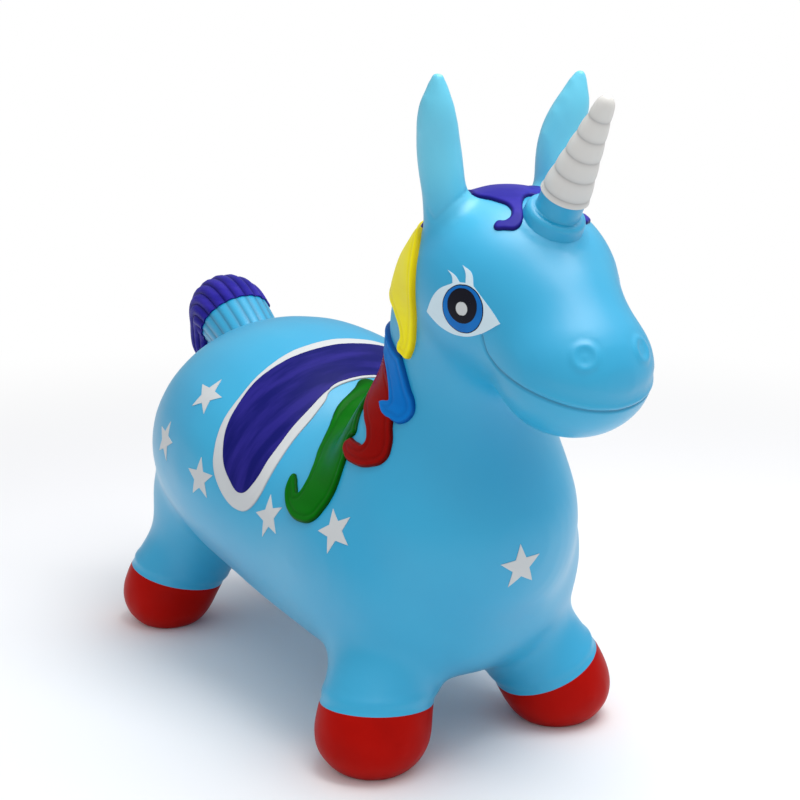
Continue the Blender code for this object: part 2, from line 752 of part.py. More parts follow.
def add_body():
    """Add the skin, hooves, horn, tail tuft and valve plug."""
    shell = modified(FORM.copy(), "SOLIDIFY", thickness=SKIN_WALL, offset=-1.0, use_even_offset=True)
    horn_at = horn_frame()
    collar = cutter("collar", turned(collar_profile(), ROUND_STEPS, horn_at))
    collar_bore = HORN_BASE_RADIUS - HORN_OVERHANG - SKIN_WALL
    collar_hollow = rod(collar_bore, -2 * COLLAR_ROOT, 2 * COLLAR_HEIGHT, horn_at)
    stub, tuft, tail_hollow = build_tail()
    valve_at = valve_frame()
    boss = rod(VALVE_BOSS_RADIUS, -VALVE_BOSS_DEPTH, VALVE_BOSS_PROUD, valve_at)
    bore = rod(VALVE_BORE_RADIUS, -2 * VALVE_BOSS_DEPTH, 2 * VALVE_BOSS_DEPTH, valve_at)
    nostril = build_nostril()
    steps = [
        ("UNION", cutter("nostril_right", nostril)),
        ("UNION", cutter("nostril_left", mirrored(nostril))),
        ("DIFFERENCE", cutter("mouth_groove", build_mouth())),
        ("UNION", collar),
        ("DIFFERENCE", cutter("collar_hollow", collar_hollow)),
        ("UNION", cutter("tail_stub", stub)),
        ("DIFFERENCE", tail_hollow),
        ("UNION", cutter("valve_boss", boss)),
        ("DIFFERENCE", cutter("valve_bore", bore)),
    ]
    for name in HOOF_EDGES:
        below = cutter(f"{name}_block", hoof_block(name, 0.0))
        add_part(name, boolean(shell.copy(), ("INTERSECT", below)), "hoof_red_vinyl")
        steps.append(("DIFFERENCE", cutter(f"{name}_clear", hoof_block(name, CLEARANCE))))
    add_part("body_skin", boolean(shell, *steps), "sky_blue_vinyl")
    seat = Matrix.Translation((0, 0, COLLAR_HEIGHT + CLEARANCE))
    add_part("horn", build_horn(), "horn_white_vinyl", horn_at @ seat)
    add_part("tail_tuft", tuft, "purple_paint")
    plug_seat = Matrix.Translation((0, 0, VALVE_BOSS_PROUD + CLEARANCE))
    add_part("valve_plug", build_plug(), "plug_plastic", valve_at @ plug_seat)


def add_mane_and_saddle():
    """Add the locks of the mane, each lying over the next one down, and the saddle cloth."""
    locks = (
        ("mane_lock_yellow", YELLOW_LOCK, "yellow_paint"),
        ("mane_lock_blue", BLUE_LOCK, "blue_paint"),
        ("mane_lock_red", RED_LOCK, "red_paint"),
        ("mane_lock_green", GREEN_LOCK, "green_paint"),
    )
    above = []
    for name, outline, finish in locks:
        add_part(name, relief(side_bar(outline), LOCK_RELIEF, above), finish)
        above.append(cutter(f"{name}_clear", side_bar(outline, CLEARANCE)))
    fringe = list(FORELOCK) + [(x, -y, *corner) for x, y, *corner in reversed(FORELOCK)]
    standing = prism(fringe, REACH, Matrix.Translation((0, 0, SKULL_CENTRE[1] + REACH)))
    collar = cutter("collar_clear", turned(collar_profile(CLEARANCE), ROUND_STEPS, horn_frame()))
    add_part("mane_forelock", relief(standing, FORELOCK_RELIEF, [above[0], collar]), "purple_paint")
    cloth = relief(side_bar(SADDLE_CLOTH), SADDLE_RELIEF, above)
    add_part("saddle_cloth", cloth, "purple_paint")
    inside = cutter("saddle_cloth_clear", side_bar(SADDLE_CLOTH, CLEARANCE))
    border = relief(side_bar(SADDLE), SADDLE_RELIEF, [inside, *above])
    add_part("saddle_border", border, "white_paint")


def add_eyes():
    """Add both eyes as inlaid paint: white with lashes, iris, pupil and glint."""
    at = tangent_frame((EYE_AT[0], -1, EYE_AT[1]), (0, 1, 0), IRIS_RADII[0])
    rounds = (
        ("eye_iris", IRIS_RADII, 0.0, "iris_paint"),
        ("eye_pupil", PUPIL_RADII, PUPIL_RISE, "pupil_paint"),
        ("eye_glint", GLINT_RADII, GLINT_RISE, "white_paint"),
    )
    name, outline, finish = "eye_white", EYE_WHITE, "white_paint"
    for next_name, radii, rise, next_finish in rounds:
        inside = prism(ellipse(radii, rise, CLEARANCE), EYE_REACH, at)
        room = cutter(f"{next_name}_clear", inside)
        add_pair(name, relief(prism(outline, EYE_REACH, at), PAINT_RELIEF, [room]), finish)
        name, outline, finish = next_name, ellipse(radii, rise), next_finish
    add_pair(name, relief(prism(outline, EYE_REACH, at), PAINT_RELIEF), finish)


def add_stars():
    """Add five stars on each flank and one on the chest."""
    for number, (x, z, turn) in enumerate(FLANK_STARS, start=1):
        at = tangent_frame((x, -1, z), (0, 1, 0), STAR_RADIUS)
        piece = relief(prism(star(turn), STAR_REACH, at), PAINT_RELIEF)
        add_part(f"star_{number}_left", mirrored(piece), "white_paint")
        add_part(f"star_{number}_right", piece, "white_paint")
    at = tangent_frame((1, *CHEST_STAR_AT), (-1, 0, 0), STAR_RADIUS)
    piece = relief(prism(star(CHEST_STAR_TURN), STAR_REACH, at), PAINT_RELIEF)
    add_part("star_chest", piece, "white_paint")


clear_scene()
PARTS = new_collection("unicorn_hopper")
CUTTERS = new_collection("cutters")
ROOT = bpy.data.objects.new("hopper_root", None)
ROOT.location.x = -BOX_MIDDLE_X
PARTS.objects.link(ROOT)
LAYERS = {}
FORM = build_form()
SURFACE = BVHTree.FromPolygons([v.co for v in FORM.vertices], [p.vertices for p in FORM.polygons])
add_body()
add_mane_and_saddle()
add_eyes()
add_stars()
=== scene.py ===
"""Looks of the inflatable unicorn hopper.

The blown skin is rebuilt more finely through the same stations as the part, then creased, split into
body and hooves, and dressed with the relief mane, the saddle cloth, painted eyes and stars, a ringed
horn and a fluted tail. Every finish is procedural satin vinyl or sprayed paint. Painted shade darkens
the creases, grooves and relief rims, and painted light makes the ears and upper head paler.
"""

import logging
import math
from dataclasses import dataclass
from enum import Enum
from typing import Any, Callable, Iterable, Sequence

import bmesh
import bpy
import numpy as np
from mathutils import Matrix, Vector
from mathutils.bvhtree import BVHTree


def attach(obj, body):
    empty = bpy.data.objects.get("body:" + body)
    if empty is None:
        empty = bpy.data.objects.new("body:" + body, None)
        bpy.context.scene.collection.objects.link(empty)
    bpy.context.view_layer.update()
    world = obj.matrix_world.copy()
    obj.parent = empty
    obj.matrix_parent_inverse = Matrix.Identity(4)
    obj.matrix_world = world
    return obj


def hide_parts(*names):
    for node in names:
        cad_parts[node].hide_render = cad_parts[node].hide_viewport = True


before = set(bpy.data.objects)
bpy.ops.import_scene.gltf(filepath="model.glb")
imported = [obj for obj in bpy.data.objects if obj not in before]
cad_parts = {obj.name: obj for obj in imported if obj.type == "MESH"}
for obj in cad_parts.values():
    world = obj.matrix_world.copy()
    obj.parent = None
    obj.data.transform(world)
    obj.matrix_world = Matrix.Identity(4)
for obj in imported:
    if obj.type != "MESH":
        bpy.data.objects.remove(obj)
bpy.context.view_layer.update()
LOG = logging.getLogger("hopper")

RGB = tuple[float, float, float]
Point = tuple[float, float, float]
Station = tuple[float, float, float, float]
Ripple = tuple[float, float, float]
Outline = Sequence[tuple]

HOPPER_BODY = "hopper"
BOX_MIDDLE_X = 0.0056
CENTRED = Matrix.Translation((-BOX_MIDDLE_X, 0, 0))

# Tolerances in metres, mesh densities, and the angles in degrees from which an edge stays sharp
WELD = 1e-6
SEAM = 1e-4
RELAXING = 0.5
CURVE_STEPS = 8
BALL_SEGMENTS = 48
TURN_STEPS = 64
FILLET_STEPS = 5
ELLIPSE_POINTS = 12
SHARP = 40.0
SKIN_SHARP = 60.0
RELIEF_SHARP = 75.0


def screen(red: int, green: int, blue: int) -> RGB:
    """Return the linear colour of an 8-bit screen colour, by the usual screen curve."""
    shares = [value / 255 for value in (red, green, blue)]
    return tuple(((s + 0.055) / 1.055) ** 2.4 if s > 0.04045 else s / 12.92 for s in shares)


class Side(Enum):
    """The two sides of the animal, by the sign of y."""

    LEFT = 1
    RIGHT = -1


class Pattern(Enum):
    """How the second colour of a finish lies over the first."""

    CLOUDS = (1.0, 1.0, 1.0)
    STREAKS = (0.35, 1.0, 3.2)
    DRAPED = (3.2, 0.5, 0.5)


# Mesh helpers


def link(name: str, data: bpy.types.ID) -> bpy.types.Object:
    """Add an object to the scene.

    Args:
        name: The object's name.
        data: What it holds.

    Returns:
        The new object.
    """
    obj = bpy.data.objects.new(name, data)
    bpy.context.scene.collection.objects.link(obj)
    return obj


def baked(obj: bpy.types.Object, matrix: Matrix = Matrix()) -> bpy.types.Mesh:
    """Evaluate a temporary object to a plain mesh and remove the object.

    Args:
        obj: The object, with any modifiers.
        matrix: Where the mesh goes.

    Returns:
        The evaluated mesh, welded and without modifiers.
    """
    bpy.context.view_layer.update()
    depsgraph = bpy.context.evaluated_depsgraph_get()
    mesh = bpy.data.meshes.new_from_object(obj.evaluated_get(depsgraph))
    mesh.transform(matrix)
    bpy.data.objects.remove(obj)
    return reshaped(mesh, lambda shape: bmesh.ops.remove_doubles(shape, verts=shape.verts, dist=WELD))


def reshaped(mesh: bpy.types.Mesh, work: Callable[[bmesh.types.BMesh], Any]) -> bpy.types.Mesh:
    """Run one step on a mesh in edit form.

    Args:
        mesh: The mesh to change.
        work: What to do with its edit form.

    Returns:
        The same mesh.
    """
    shape = bmesh.new()
    shape.from_mesh(mesh)
    work(shape)
    shape.to_mesh(mesh)
    shape.free()
    return mesh


def outward(mesh: bpy.types.Mesh) -> bpy.types.Mesh:
    """Point the faces of a closed mesh outwards and return it."""
    return reshaped(mesh, lambda shape: bmesh.ops.recalc_face_normals(shape, faces=shape.faces))


def mirrored(mesh: bpy.types.Mesh) -> bpy.types.Mesh:
    """Copy a mesh to the other side of the mid-plane.

    Args:
        mesh: The mesh to copy.

    Returns:
        Its mirror image, facing outwards.
    """
    copy = mesh.copy()
    copy.transform(Matrix.Scale(-1, 4, (0, 1, 0)))
    copy.flip_normals()
    return copy


def joined(meshes: Iterable[bpy.types.Mesh]) -> bpy.types.Mesh:
    """Put several meshes into one.

    Args:
        meshes: The meshes to put together.

    Returns:
        One mesh that holds all of them.
    """
    shape = bmesh.new()
    for mesh in meshes:
        shape.from_mesh(mesh)
    result = bpy.data.meshes.new("joined")
    shape.to_mesh(result)
    shape.free()
    return result


def modified(mesh: bpy.types.Mesh, kind: str, **settings: Any) -> bpy.types.Mesh:
    """Return a mesh after one modifier.

    Args:
        mesh: The mesh to change.
        kind: The modifier's type.
        **settings: The modifier's values.

    Returns:
        A new plain mesh.
    """
    obj = link("worked", mesh)
    modifier = obj.modifiers.new(kind.lower(), kind)
    for name, value in settings.items():
        setattr(modifier, name, value)
    return baked(obj)


def rounded(mesh: bpy.types.Mesh, voxel: float, passes: int) -> bpy.types.Mesh:
    """Fuse overlapping closed forms into one skin and relax its creases.

    Args:
        mesh: Closed forms, overlapping.
        voxel: The grid size in metres.
        passes: How often the skin is relaxed.

    Returns:
        One closed skin of even quads.
    """
    fused = modified(mesh, "REMESH", mode="VOXEL", voxel_size=voxel)
    return modified(fused, "SMOOTH", factor=RELAXING, iterations=passes)


def tube(stations: Sequence[Station], widening: float = 1.0) -> bpy.types.Mesh:
    """Return a closed round tube through stations.

    Args:
        stations: x, y, z and radius of each station.
        widening: How much wider than tall the section is.

    Returns:
        A closed mesh with flat ends.
    """
    curve = bpy.data.curves.new("tube", "CURVE")
    curve.dimensions = "3D"
    curve.resolution_u = CURVE_STEPS
    curve.use_fill_caps = True
    curve.bevel_depth = 1.0
    curve.bevel_resolution = CURVE_STEPS
    spline = curve.splines.new("BEZIER")
    spline.radius_interpolation = "CARDINAL"
    spline.bezier_points.add(len(stations) - 1)
    for point, (x, y, z, radius) in zip(spline.bezier_points, stations):
        point.co = (x, y / widening, z)
        point.radius = radius
        point.handle_left_type = point.handle_right_type = "AUTO"
    return outward(baked(link("tube", curve), Matrix.Diagonal((1, widening, 1, 1))))


def spine(stations: Iterable[Point]) -> list[Station]:
    """Put x, z, radius stations on the mid-plane."""
    return [(x, 0.0, z, radius) for x, z, radius in stations]


def ball(centre: tuple[float, float], radii: Point, pitch: float) -> bpy.types.Mesh:
    """Return an ellipsoid on the mid-plane.

    Args:
        centre: Its x and z.
        radii: Its half axes.
        pitch: How far it is turned nose down, in degrees.

    Returns:
        A closed mesh.
    """
    def globe(shape: bmesh.types.BMesh) -> None:
        """Add a globe of radius 1."""
        rows = BALL_SEGMENTS // 2
        bmesh.ops.create_uvsphere(shape, u_segments=BALL_SEGMENTS, v_segments=rows, radius=1.0)

    mesh = reshaped(bpy.data.meshes.new("ball"), globe)
    place = Matrix.Translation((centre[0], 0.0, centre[1]))
    mesh.transform(place @ Matrix.Rotation(math.radians(pitch), 4, "Y") @ Matrix.Diagonal((*radii, 1)))
    return mesh


def turned(profile: Sequence[tuple[float, float]], matrix: Matrix) -> bpy.types.Mesh:
    """Return a closed turned solid.

    Args:
        profile: Radius and height of points that start and end on the axis or meet.
        matrix: The frame whose z axis it turns about.

    Returns:
        A closed mesh.
    """
    mesh = bpy.data.meshes.new("profile")
    edges = [(i, i + 1) for i in range(len(profile) - 1)]
    mesh.from_pydata([(radius, 0.0, height) for radius, height in profile], edges, [])
    obj = link("turned", mesh)
    screw = obj.modifiers.new("turn", "SCREW")
    screw.steps = screw.render_steps = TURN_STEPS
    screw.use_merge_vertices = True
    screw.merge_threshold = WELD
    return outward(baked(obj, matrix))


def flat(outline: Outline, matrix: Matrix) -> bpy.types.Mesh:
    """Return the filled shape of a closed outline.

    Args:
        outline: x, y and optionally a corner flag of each point.
        matrix: The frame the outline lies in.

    Returns:
        A flat mesh facing z.
    """
    curve = bpy.data.curves.new("outline", "CURVE")
    curve.dimensions = "2D"
    curve.fill_mode = "BOTH"
    curve.resolution_u = CURVE_STEPS
    spline = curve.splines.new("BEZIER")
    spline.use_cyclic_u = True
    spline.bezier_points.add(len(outline) - 1)
    for point, (x, y, *corner) in zip(spline.bezier_points, outline):
        point.co = (x, y, 0.0)
        point.handle_left_type = point.handle_right_type = "VECTOR" if corner else "AUTO"
    mesh = baked(link("outline", curve))
    if mesh.polygons[0].normal.z < 0:
        mesh.flip_normals()
    mesh.transform(matrix)
    return mesh


def ellipse(radii: tuple[float, float], rise: float = 0.0) -> list[tuple[float, float]]:
    """Return points round an ellipse that is lifted by rise."""
    turns = [math.tau * i / ELLIPSE_POINTS for i in range(ELLIPSE_POINTS)]
    return [(radii[0] * math.cos(t), radii[1] * math.sin(t) + rise) for t in turns]


def smooth_path(points: Sequence[Sequence[float]], steps: int) -> np.ndarray:
    """Return a Catmull-Rom path through points.

    Args:
        points: Points of any dimension.
        steps: Samples between two points.

    Returns:
        The samples, one per row.
    """
    p = np.array(points, dtype=float)
    p = np.vstack([2 * p[0] - p[1], p, 2 * p[-1] - p[-2]])
    t = np.linspace(0, 1, steps, endpoint=False)[:, None]
    rows = []
    for a, b, c, d in zip(p, p[1:], p[2:], p[3:]):
        bend = (2 * a - 5 * b + 4 * c - d) * t**2 + (3 * b - a - 3 * c + d) * t**3
        rows.append(0.5 * (2 * b + (c - a) * t + bend))
    return np.vstack([*rows, p[-2:-1]])


def nearest_on_path(points: np.ndarray, path: np.ndarray) -> tuple[np.ndarray, np.ndarray]:
    """Find the closest place on a path for many points.

    Args:
        points: One point per row.
        path: The path's corners, one per row.

    Returns:
        The distance of each point and its offset from the path.
    """
    best = np.full(len(points), np.inf)
    offset = np.zeros_like(points)
    for a, b in zip(path, path[1:]):
        along = b - a
        share = np.clip((points - a) @ along / max(along @ along, WELD**2), 0.0, 1.0)
        away = points - (a + share[:, None] * along)
        distance = np.linalg.norm(away, axis=1)
        closer = distance < best
        best[closer] = distance[closer]
        offset[closer] = away[closer]
    return best, offset


def bump(distance: np.ndarray, centre: float, width: float) -> np.ndarray:
    """Return a soft bump of height 1 round a centre."""
    return np.exp(-(((distance - centre) / width) ** 2))


def ripples(distance: np.ndarray, parts: Sequence[Ripple]) -> np.ndarray:
    """Return the sum of soft bumps, each given by its height, centre and width."""
    return sum(height * bump(distance, centre, width) for height, centre, width in parts)


def ease(values: np.ndarray, low: float, high: float) -> np.ndarray:
    """Return a smooth step from 0 at low to 1 at high."""
    t = np.clip((values - low) / (high - low), 0.0, 1.0)
    return t * t * (3 - 2 * t)


def positions(mesh: bpy.types.Mesh, name: str = "co") -> np.ndarray:
    """Read a vector of every vertex.

    Args:
        mesh: The mesh to read.
        name: Which vector: the place or the normal.

    Returns:
        The vectors, one per row.
    """
    values = np.empty(len(mesh.vertices) * 3)
    mesh.vertices.foreach_get(name, values)
    return values.reshape(-1, 3)


def placed(mesh: bpy.types.Mesh, points: np.ndarray) -> bpy.types.Mesh:
    """Move the vertices of a mesh.

    Args:
        mesh: The mesh to change.
        points: Where its vertices go, one per row.

    Returns:
        The same mesh.
    """
    mesh.vertices.foreach_set("co", points.ravel())
    mesh.update()
    return mesh


def mark(mesh: bpy.types.Mesh, name: str, values: np.ndarray) -> None:
    """Store one value for every vertex of a mesh, under a name."""
    mesh.attributes.new(name, "FLOAT", "POINT").data.foreach_set("value", values)


def close(shape: bmesh.types.BMesh) -> None:
    """Fill every open rim with a cap.

    Args:
        shape: The edit mesh to close.
    """
    rim = [e for e in shape.edges if e.is_boundary]
    made = bmesh.ops.holes_fill(shape, edges=rim, sides=0)
    bmesh.ops.triangulate(shape, faces=made["faces"])


def cut_off(mesh: bpy.types.Mesh, place: Point, normal: Sequence[float], beyond: bool) -> bpy.types.Mesh:
    """Cut a closed mesh with a plane and cap what is kept.

    Args:
        mesh: The mesh to cut.
        place: A point of the plane.
        normal: The plane's normal.
        beyond: Whether the side that the normal points to is kept.

    Returns:
        The same mesh, closed.
    """
    def cut(shape: bmesh.types.BMesh) -> None:
        """Keep one side of the plane and cap it.

        Args:
            shape: The edit mesh to cut.
        """
        everything = [*shape.verts, *shape.edges, *shape.faces]
        sides = {"clear_inner": beyond, "clear_outer": not beyond}
        bmesh.ops.bisect_plane(shape, geom=everything, plane_co=place, plane_no=normal, **sides)
        close(shape)

    return reshaped(mesh, cut)


def split_near(shape: bmesh.types.BMesh, close_by: np.ndarray, cuts: int) -> None:
    """Split the edges between chosen vertices.

    Args:
        shape: The edit mesh to refine.
        close_by: Whether each vertex is chosen.
        cuts: How often an edge is cut.
    """
    edges = [e for e in shape.edges if close_by[e.verts[0].index] and close_by[e.verts[1].index]]
    bmesh.ops.subdivide_edges(shape, edges=edges, cuts=cuts, use_grid_fill=True)


def round_axis(points: np.ndarray, at: Matrix) -> tuple[np.ndarray, np.ndarray]:
    """Measure points from the z axis of a frame.

    Args:
        points: One point per row.
        at: The frame.

    Returns:
        How far each point lies along the axis, and how far from it.
    """
    local = points - np.array(at.translation)
    along = local @ np.array(at.col[2].xyz)
    return along, np.sqrt(np.maximum((local**2).sum(axis=1) - along**2, 0.0))


def tree_of(mesh: bpy.types.Mesh) -> BVHTree:
    """Return a search tree of a mesh."""
    return BVHTree.FromPolygons([v.co for v in mesh.vertices], [p.vertices for p in mesh.polygons])


def tangent_frame(surface: BVHTree, origin: Point, direction: Point, spread: float) -> Matrix:
    """Return a frame on a surface: x level, y up the slope and z outwards.

    Args:
        surface: The surface.
        origin: Where a ray starts.
        direction: Where the ray goes.
        spread: How far round the hit the normals are averaged.

    Returns:
        The frame at the hit.
    """
    point = surface.ray_cast(Vector(origin), Vector(direction))[0]
    normals = [hit[1] for hit in surface.find_nearest_range(point, spread)]
    normal = sum(normals, Vector()).normalized()
    level = Vector((0, 0, 1)).cross(normal).normalized()
    turn = Matrix((level, normal.cross(level), normal)).transposed().to_4x4()
    return Matrix.Translation(point) @ turn


# Node helpers


class Graph:
    """A node tree under construction."""

    def __init__(self, tree: bpy.types.NodeTree) -> None:
        """Keep the tree that nodes are added to."""
        self.tree = tree

    @classmethod
    def group(cls, name: str, kind: str, inputs: dict[str, str], outputs: dict[str, str]) -> "Graph":
        """Start a node group.

        Args:
            name: The group's name.
            kind: The tree's type.
            inputs: Socket type of each named input.
            outputs: Socket type of each named output.

        Returns:
            The graph of the new group.
        """
        made = cls(bpy.data.node_groups.new(name, kind))
        for side, sockets in (("INPUT", inputs), ("OUTPUT", outputs)):
            for label, socket in sockets.items():
                made.tree.interface.new_socket(label, in_out=side, socket_type=socket)
        return made

    @classmethod
    def shaping(cls, name: str, **inputs: str) -> "Graph":
        """Start a geometry group that takes a geometry and a finish.

        Args:
            name: The group's name.
            **inputs: Kind of each further input, with underscores for spaces.

        Returns:
            The graph of the new group.
        """
        geometry = {"Geometry": "NodeSocketGeometry"}
        sockets = {label.replace("_", " ").title(): f"NodeSocket{kind}" for label, kind in inputs.items()}
        taken = {**geometry, **sockets, "Finish": "NodeSocketMaterial"}
        return cls.group(name, "GeometryNodeTree", taken, geometry)

    def node(self, kind: str, feeds: dict[Any, Any] | None = None, **settings: Any) -> bpy.types.Node:
        """Add a node.

        Args:
            kind: The node's type.
            feeds: A value or a socket for each input, by name or number.
            **settings: The node's own values.

        Returns:
            The new node.
        """
        made = self.tree.nodes.new(kind)
        for name, value in settings.items():
            setattr(made, name, value)
        for key, source in (feeds or {}).items():
            self.feed(made.inputs[key], source)
        return made

    def feed(self, socket: bpy.types.NodeSocket, source: Any) -> None:
        """Link a socket to another socket, or set its value.

        Args:
            socket: The input socket.
            source: A socket to link it to, or a value.
        """
        if isinstance(source, bpy.types.NodeSocket):
            self.tree.links.new(source, socket)
        else:
            socket.default_value = source

    def first(self, kind: str, feeds: dict[Any, Any] | None = None, **settings: Any) -> bpy.types.NodeSocket:
        """Add a node and return its first output."""
        return self.node(kind, feeds, **settings).outputs[0]

    def maths(self, operation: str, *values: Any) -> bpy.types.NodeSocket:
        """Return the result of a maths node."""
        return self.first("ShaderNodeMath", dict(enumerate(values)), operation=operation)

    def noise(self, place: bpy.types.NodeSocket, scale: Any, detail: float) -> bpy.types.NodeSocket:
        """Return the value of a noise."""
        feeds = {"Vector": place, "Scale": scale, "Detail": detail}
        return self.node("ShaderNodeTexNoise", feeds).outputs["Fac"]

    def carried(self, name: str) -> bpy.types.NodeSocket:
        """Return a value that the surface carries under a name."""
        return self.node("ShaderNodeAttribute", attribute_name=name).outputs["Fac"]

    def blend(self, share: bpy.types.NodeSocket, first: Any, second: Any) -> bpy.types.NodeSocket:
        """Return the mix of two colours."""
        return self.node("ShaderNodeMix", {0: share, 6: first, 7: second}, data_type="RGBA").outputs[2]

    def scaled(self, vector: bpy.types.NodeSocket, scale: Any) -> bpy.types.NodeSocket:
        """Return a vector times a number."""
        return self.first("ShaderNodeVectorMath", {0: vector, "Scale": scale}, operation="SCALE")

    def finished(self, shape: bpy.types.NodeSocket, finish: bpy.types.NodeSocket) -> bpy.types.NodeTree:
        """Close a geometry group with real geometry in its finish.

        Args:
            shape: The geometry.
            finish: The material.

        Returns:
            The finished tree.
        """
        real = self.first("GeometryNodeRealizeInstances", {0: shape})
        self.node("NodeGroupOutput", {0: self.first("GeometryNodeSetMaterial", {0: real, 2: finish})})
        return self.tree


def applied(mesh: bpy.types.Mesh, tree: bpy.types.NodeTree, **values: Any) -> bpy.types.Mesh:
    """Return the plain mesh a geometry tree makes.

    Args:
        mesh: What the tree starts from.
        tree: The geometry node tree.
        **values: Its inputs by name, with underscores for spaces.

    Returns:
        The mesh, without the modifier.
    """
    obj = link("grown", mesh)
    modifier = obj.modifiers.new(tree.name, "NODES")
    modifier.node_group = tree
    for item in tree.interface.items_tree:
        key = item.name.replace(" ", "_").lower()
        if item.in_out == "INPUT" and key in values:
            modifier[item.identifier] = values[key]
    return baked(obj)


# Finishes

MOTTLE_DETAIL = 4.0
MOTTLE_RANGE = (0.38, 0.66)
SHEEN_SCALE = 38.0
SHEEN_DETAIL = 5.0
SHEEN_MIDDLE = 0.5
GRAIN_DETAIL = 2.0


def vinyl_group() -> bpy.types.NodeTree:
    """Return the shared surface group, made once.

    Returns:
        A group that puts out a mottled colour with painted light and painted shade mixed in where the mesh
        marks them, a roughness and a fine grain height.
    """
    name = "vinyl_surface"
    if name in bpy.data.node_groups:
        return bpy.data.node_groups[name]
    value, colour = "NodeSocketFloat", "NodeSocketColor"
    graph = Graph.group(
        name,
        "ShaderNodeTree",
        {
            "Colour": colour,
            "Second Colour": colour,
            "Crease Colour": colour,
            "Thin Colour": colour,
            "Stretch": "NodeSocketVector",
            "Scale": value,
            "Cover": value,
            "Roughness": value,
            "Spread": value,
            "Grain Scale": value,
        },
        {"Colour": colour, "Roughness": value, "Height": value},
    )
    given = graph.node("NodeGroupInput").outputs
    place = graph.node("ShaderNodeTexCoord").outputs["Object"]
    stretched = graph.first("ShaderNodeVectorMath", {0: place, 1: given["Stretch"]}, operation="MULTIPLY")
    cloud = graph.noise(stretched, given["Scale"], MOTTLE_DETAIL)
    low, high = MOTTLE_RANGE
    soft = graph.first("ShaderNodeMapRange", {0: cloud, 1: low, 2: high}, interpolation_type="SMOOTHSTEP")
    cover = graph.maths("MULTIPLY", soft, given["Cover"])
    mixed = graph.blend(cover, given["Colour"], given["Second Colour"])
    # Painted light: a paler colour where the mesh marks the ears and upper head. Painted shade: a darker
    # colour where it marks creases, grooves and relief rims.
    with_painted_light = graph.blend(graph.carried("thin"), mixed, given["Thin Colour"])
    creased = graph.blend(graph.carried("crease"), with_painted_light, given["Crease Colour"])
    patch = graph.noise(place, SHEEN_SCALE, SHEEN_DETAIL)
    swing = graph.maths("MULTIPLY", graph.maths("SUBTRACT", patch, SHEEN_MIDDLE), given["Spread"])
    rough = graph.maths("ADD", given["Roughness"], swing)
    grain = graph.noise(place, given["Grain Scale"], GRAIN_DETAIL)
    graph.node("NodeGroupOutput", {"Colour": creased, "Roughness": rough, "Height": grain})
    return graph.tree


@dataclass(frozen=True)
class Vinyl:
    """Satin vinyl or sprayed paint in two tones, with a painted shade colour for creases and a painted light
    colour for where the skin is painted paler.
    """

    slot: str
    colour: RGB
    second: RGB
    crease: RGB
    pattern: Pattern = Pattern.CLOUDS
    scale: float = 9.0
    cover: float = 0.5
    roughness: float = 0.40
    spread: float = 0.12
    grain_scale: float = 850.0
    grain: float = 0.000012
    coat: float = 0.0
    coat_roughness: float = 0.18
    specular: float = 0.30
    thin: RGB = (0.0, 0.0, 0.0)

    def material(self) -> bpy.types.Material:
        """Return the finish's material, made once.

        Returns:
            A Principled material fed by the shared surface group.
        """
        if self in MADE:
            return MADE[self]
        made = bpy.data.materials.new(f"{self.slot}_look")
        made.use_nodes = True
        graph = Graph(made.node_tree)
        shader = made.node_tree.nodes["Principled BSDF"]
        given = {
            "Colour": (*self.colour, 1.0),
            "Second Colour": (*self.second, 1.0),
            "Crease Colour": (*self.crease, 1.0),
            "Thin Colour": (*self.thin, 1.0),
            "Stretch": self.pattern.value,
            "Scale": self.scale,
            "Cover": self.cover,
            "Roughness": self.roughness,
            "Spread": self.spread,
            "Grain Scale": self.grain_scale,
        }
        surface = graph.node("ShaderNodeGroup", given, node_tree=vinyl_group()).outputs
        bumps = {"Strength": 1.0, "Distance": self.grain, "Height": surface["Height"]}
        feeds = {
            "Base Color": surface["Colour"],
            "Roughness": surface["Roughness"],
            "Normal": graph.first("ShaderNodeBump", bumps),
            "Coat Weight": self.coat,
            "Coat Roughness": self.coat_roughness,
            "Specular IOR Level": self.specular,
        }
        for name, source in feeds.items():
            graph.feed(shader.inputs[name], source)
        made.diffuse_color = (*self.colour, 1.0)
        MADE[self] = made
        return made


MADE: dict[Vinyl, bpy.types.Material] = {}

# The third colour of each finish is painted shade for creases, grooves and rims; the sky blue's paler colour
# is painted light on the ears and upper head.
SKY = Vinyl(
    "sky_blue_vinyl", screen(8, 158, 203), screen(14, 165, 208), screen(4, 84, 118),
    cover=0.6, roughness=0.5, coat=1.0, coat_roughness=0.40, thin=screen(95, 198, 226),
)
HOOF = Vinyl(
    "hoof_red_vinyl", screen(172, 9, 1), screen(152, 6, 1), screen(90, 4, 1),
    scale=22.0, specular=0.06,
)
HORN = Vinyl("horn_white_vinyl", screen(216, 214, 209), screen(209, 206, 202), screen(176, 173, 170))
PURPLE = Vinyl(
    "purple_paint", screen(34, 28, 140), screen(58, 47, 166), screen(12, 8, 70),
    pattern=Pattern.STREAKS, scale=30.0, cover=0.7, specular=0.1,
)
CLOTH = Vinyl(
    "purple_paint", screen(8, 12, 98), screen(46, 38, 138), screen(6, 5, 56),
    pattern=Pattern.DRAPED, scale=30.0, cover=0.6, specular=0.1,
)
YELLOW = Vinyl(
    "yellow_paint", screen(248, 236, 20), screen(240, 222, 12), screen(190, 160, 4),
    pattern=Pattern.STREAKS, scale=18.0, specular=0.1,
)
BLUE = Vinyl(
    "blue_paint", screen(0, 112, 196), screen(2, 124, 208), screen(0, 62, 132),
    pattern=Pattern.STREAKS, scale=18.0, specular=0.08,
)
RED = Vinyl(
    "red_paint", screen(136, 6, 2), screen(152, 11, 5), screen(66, 2, 1),
    pattern=Pattern.STREAKS, scale=18.0, roughness=0.3, specular=0.05,
)
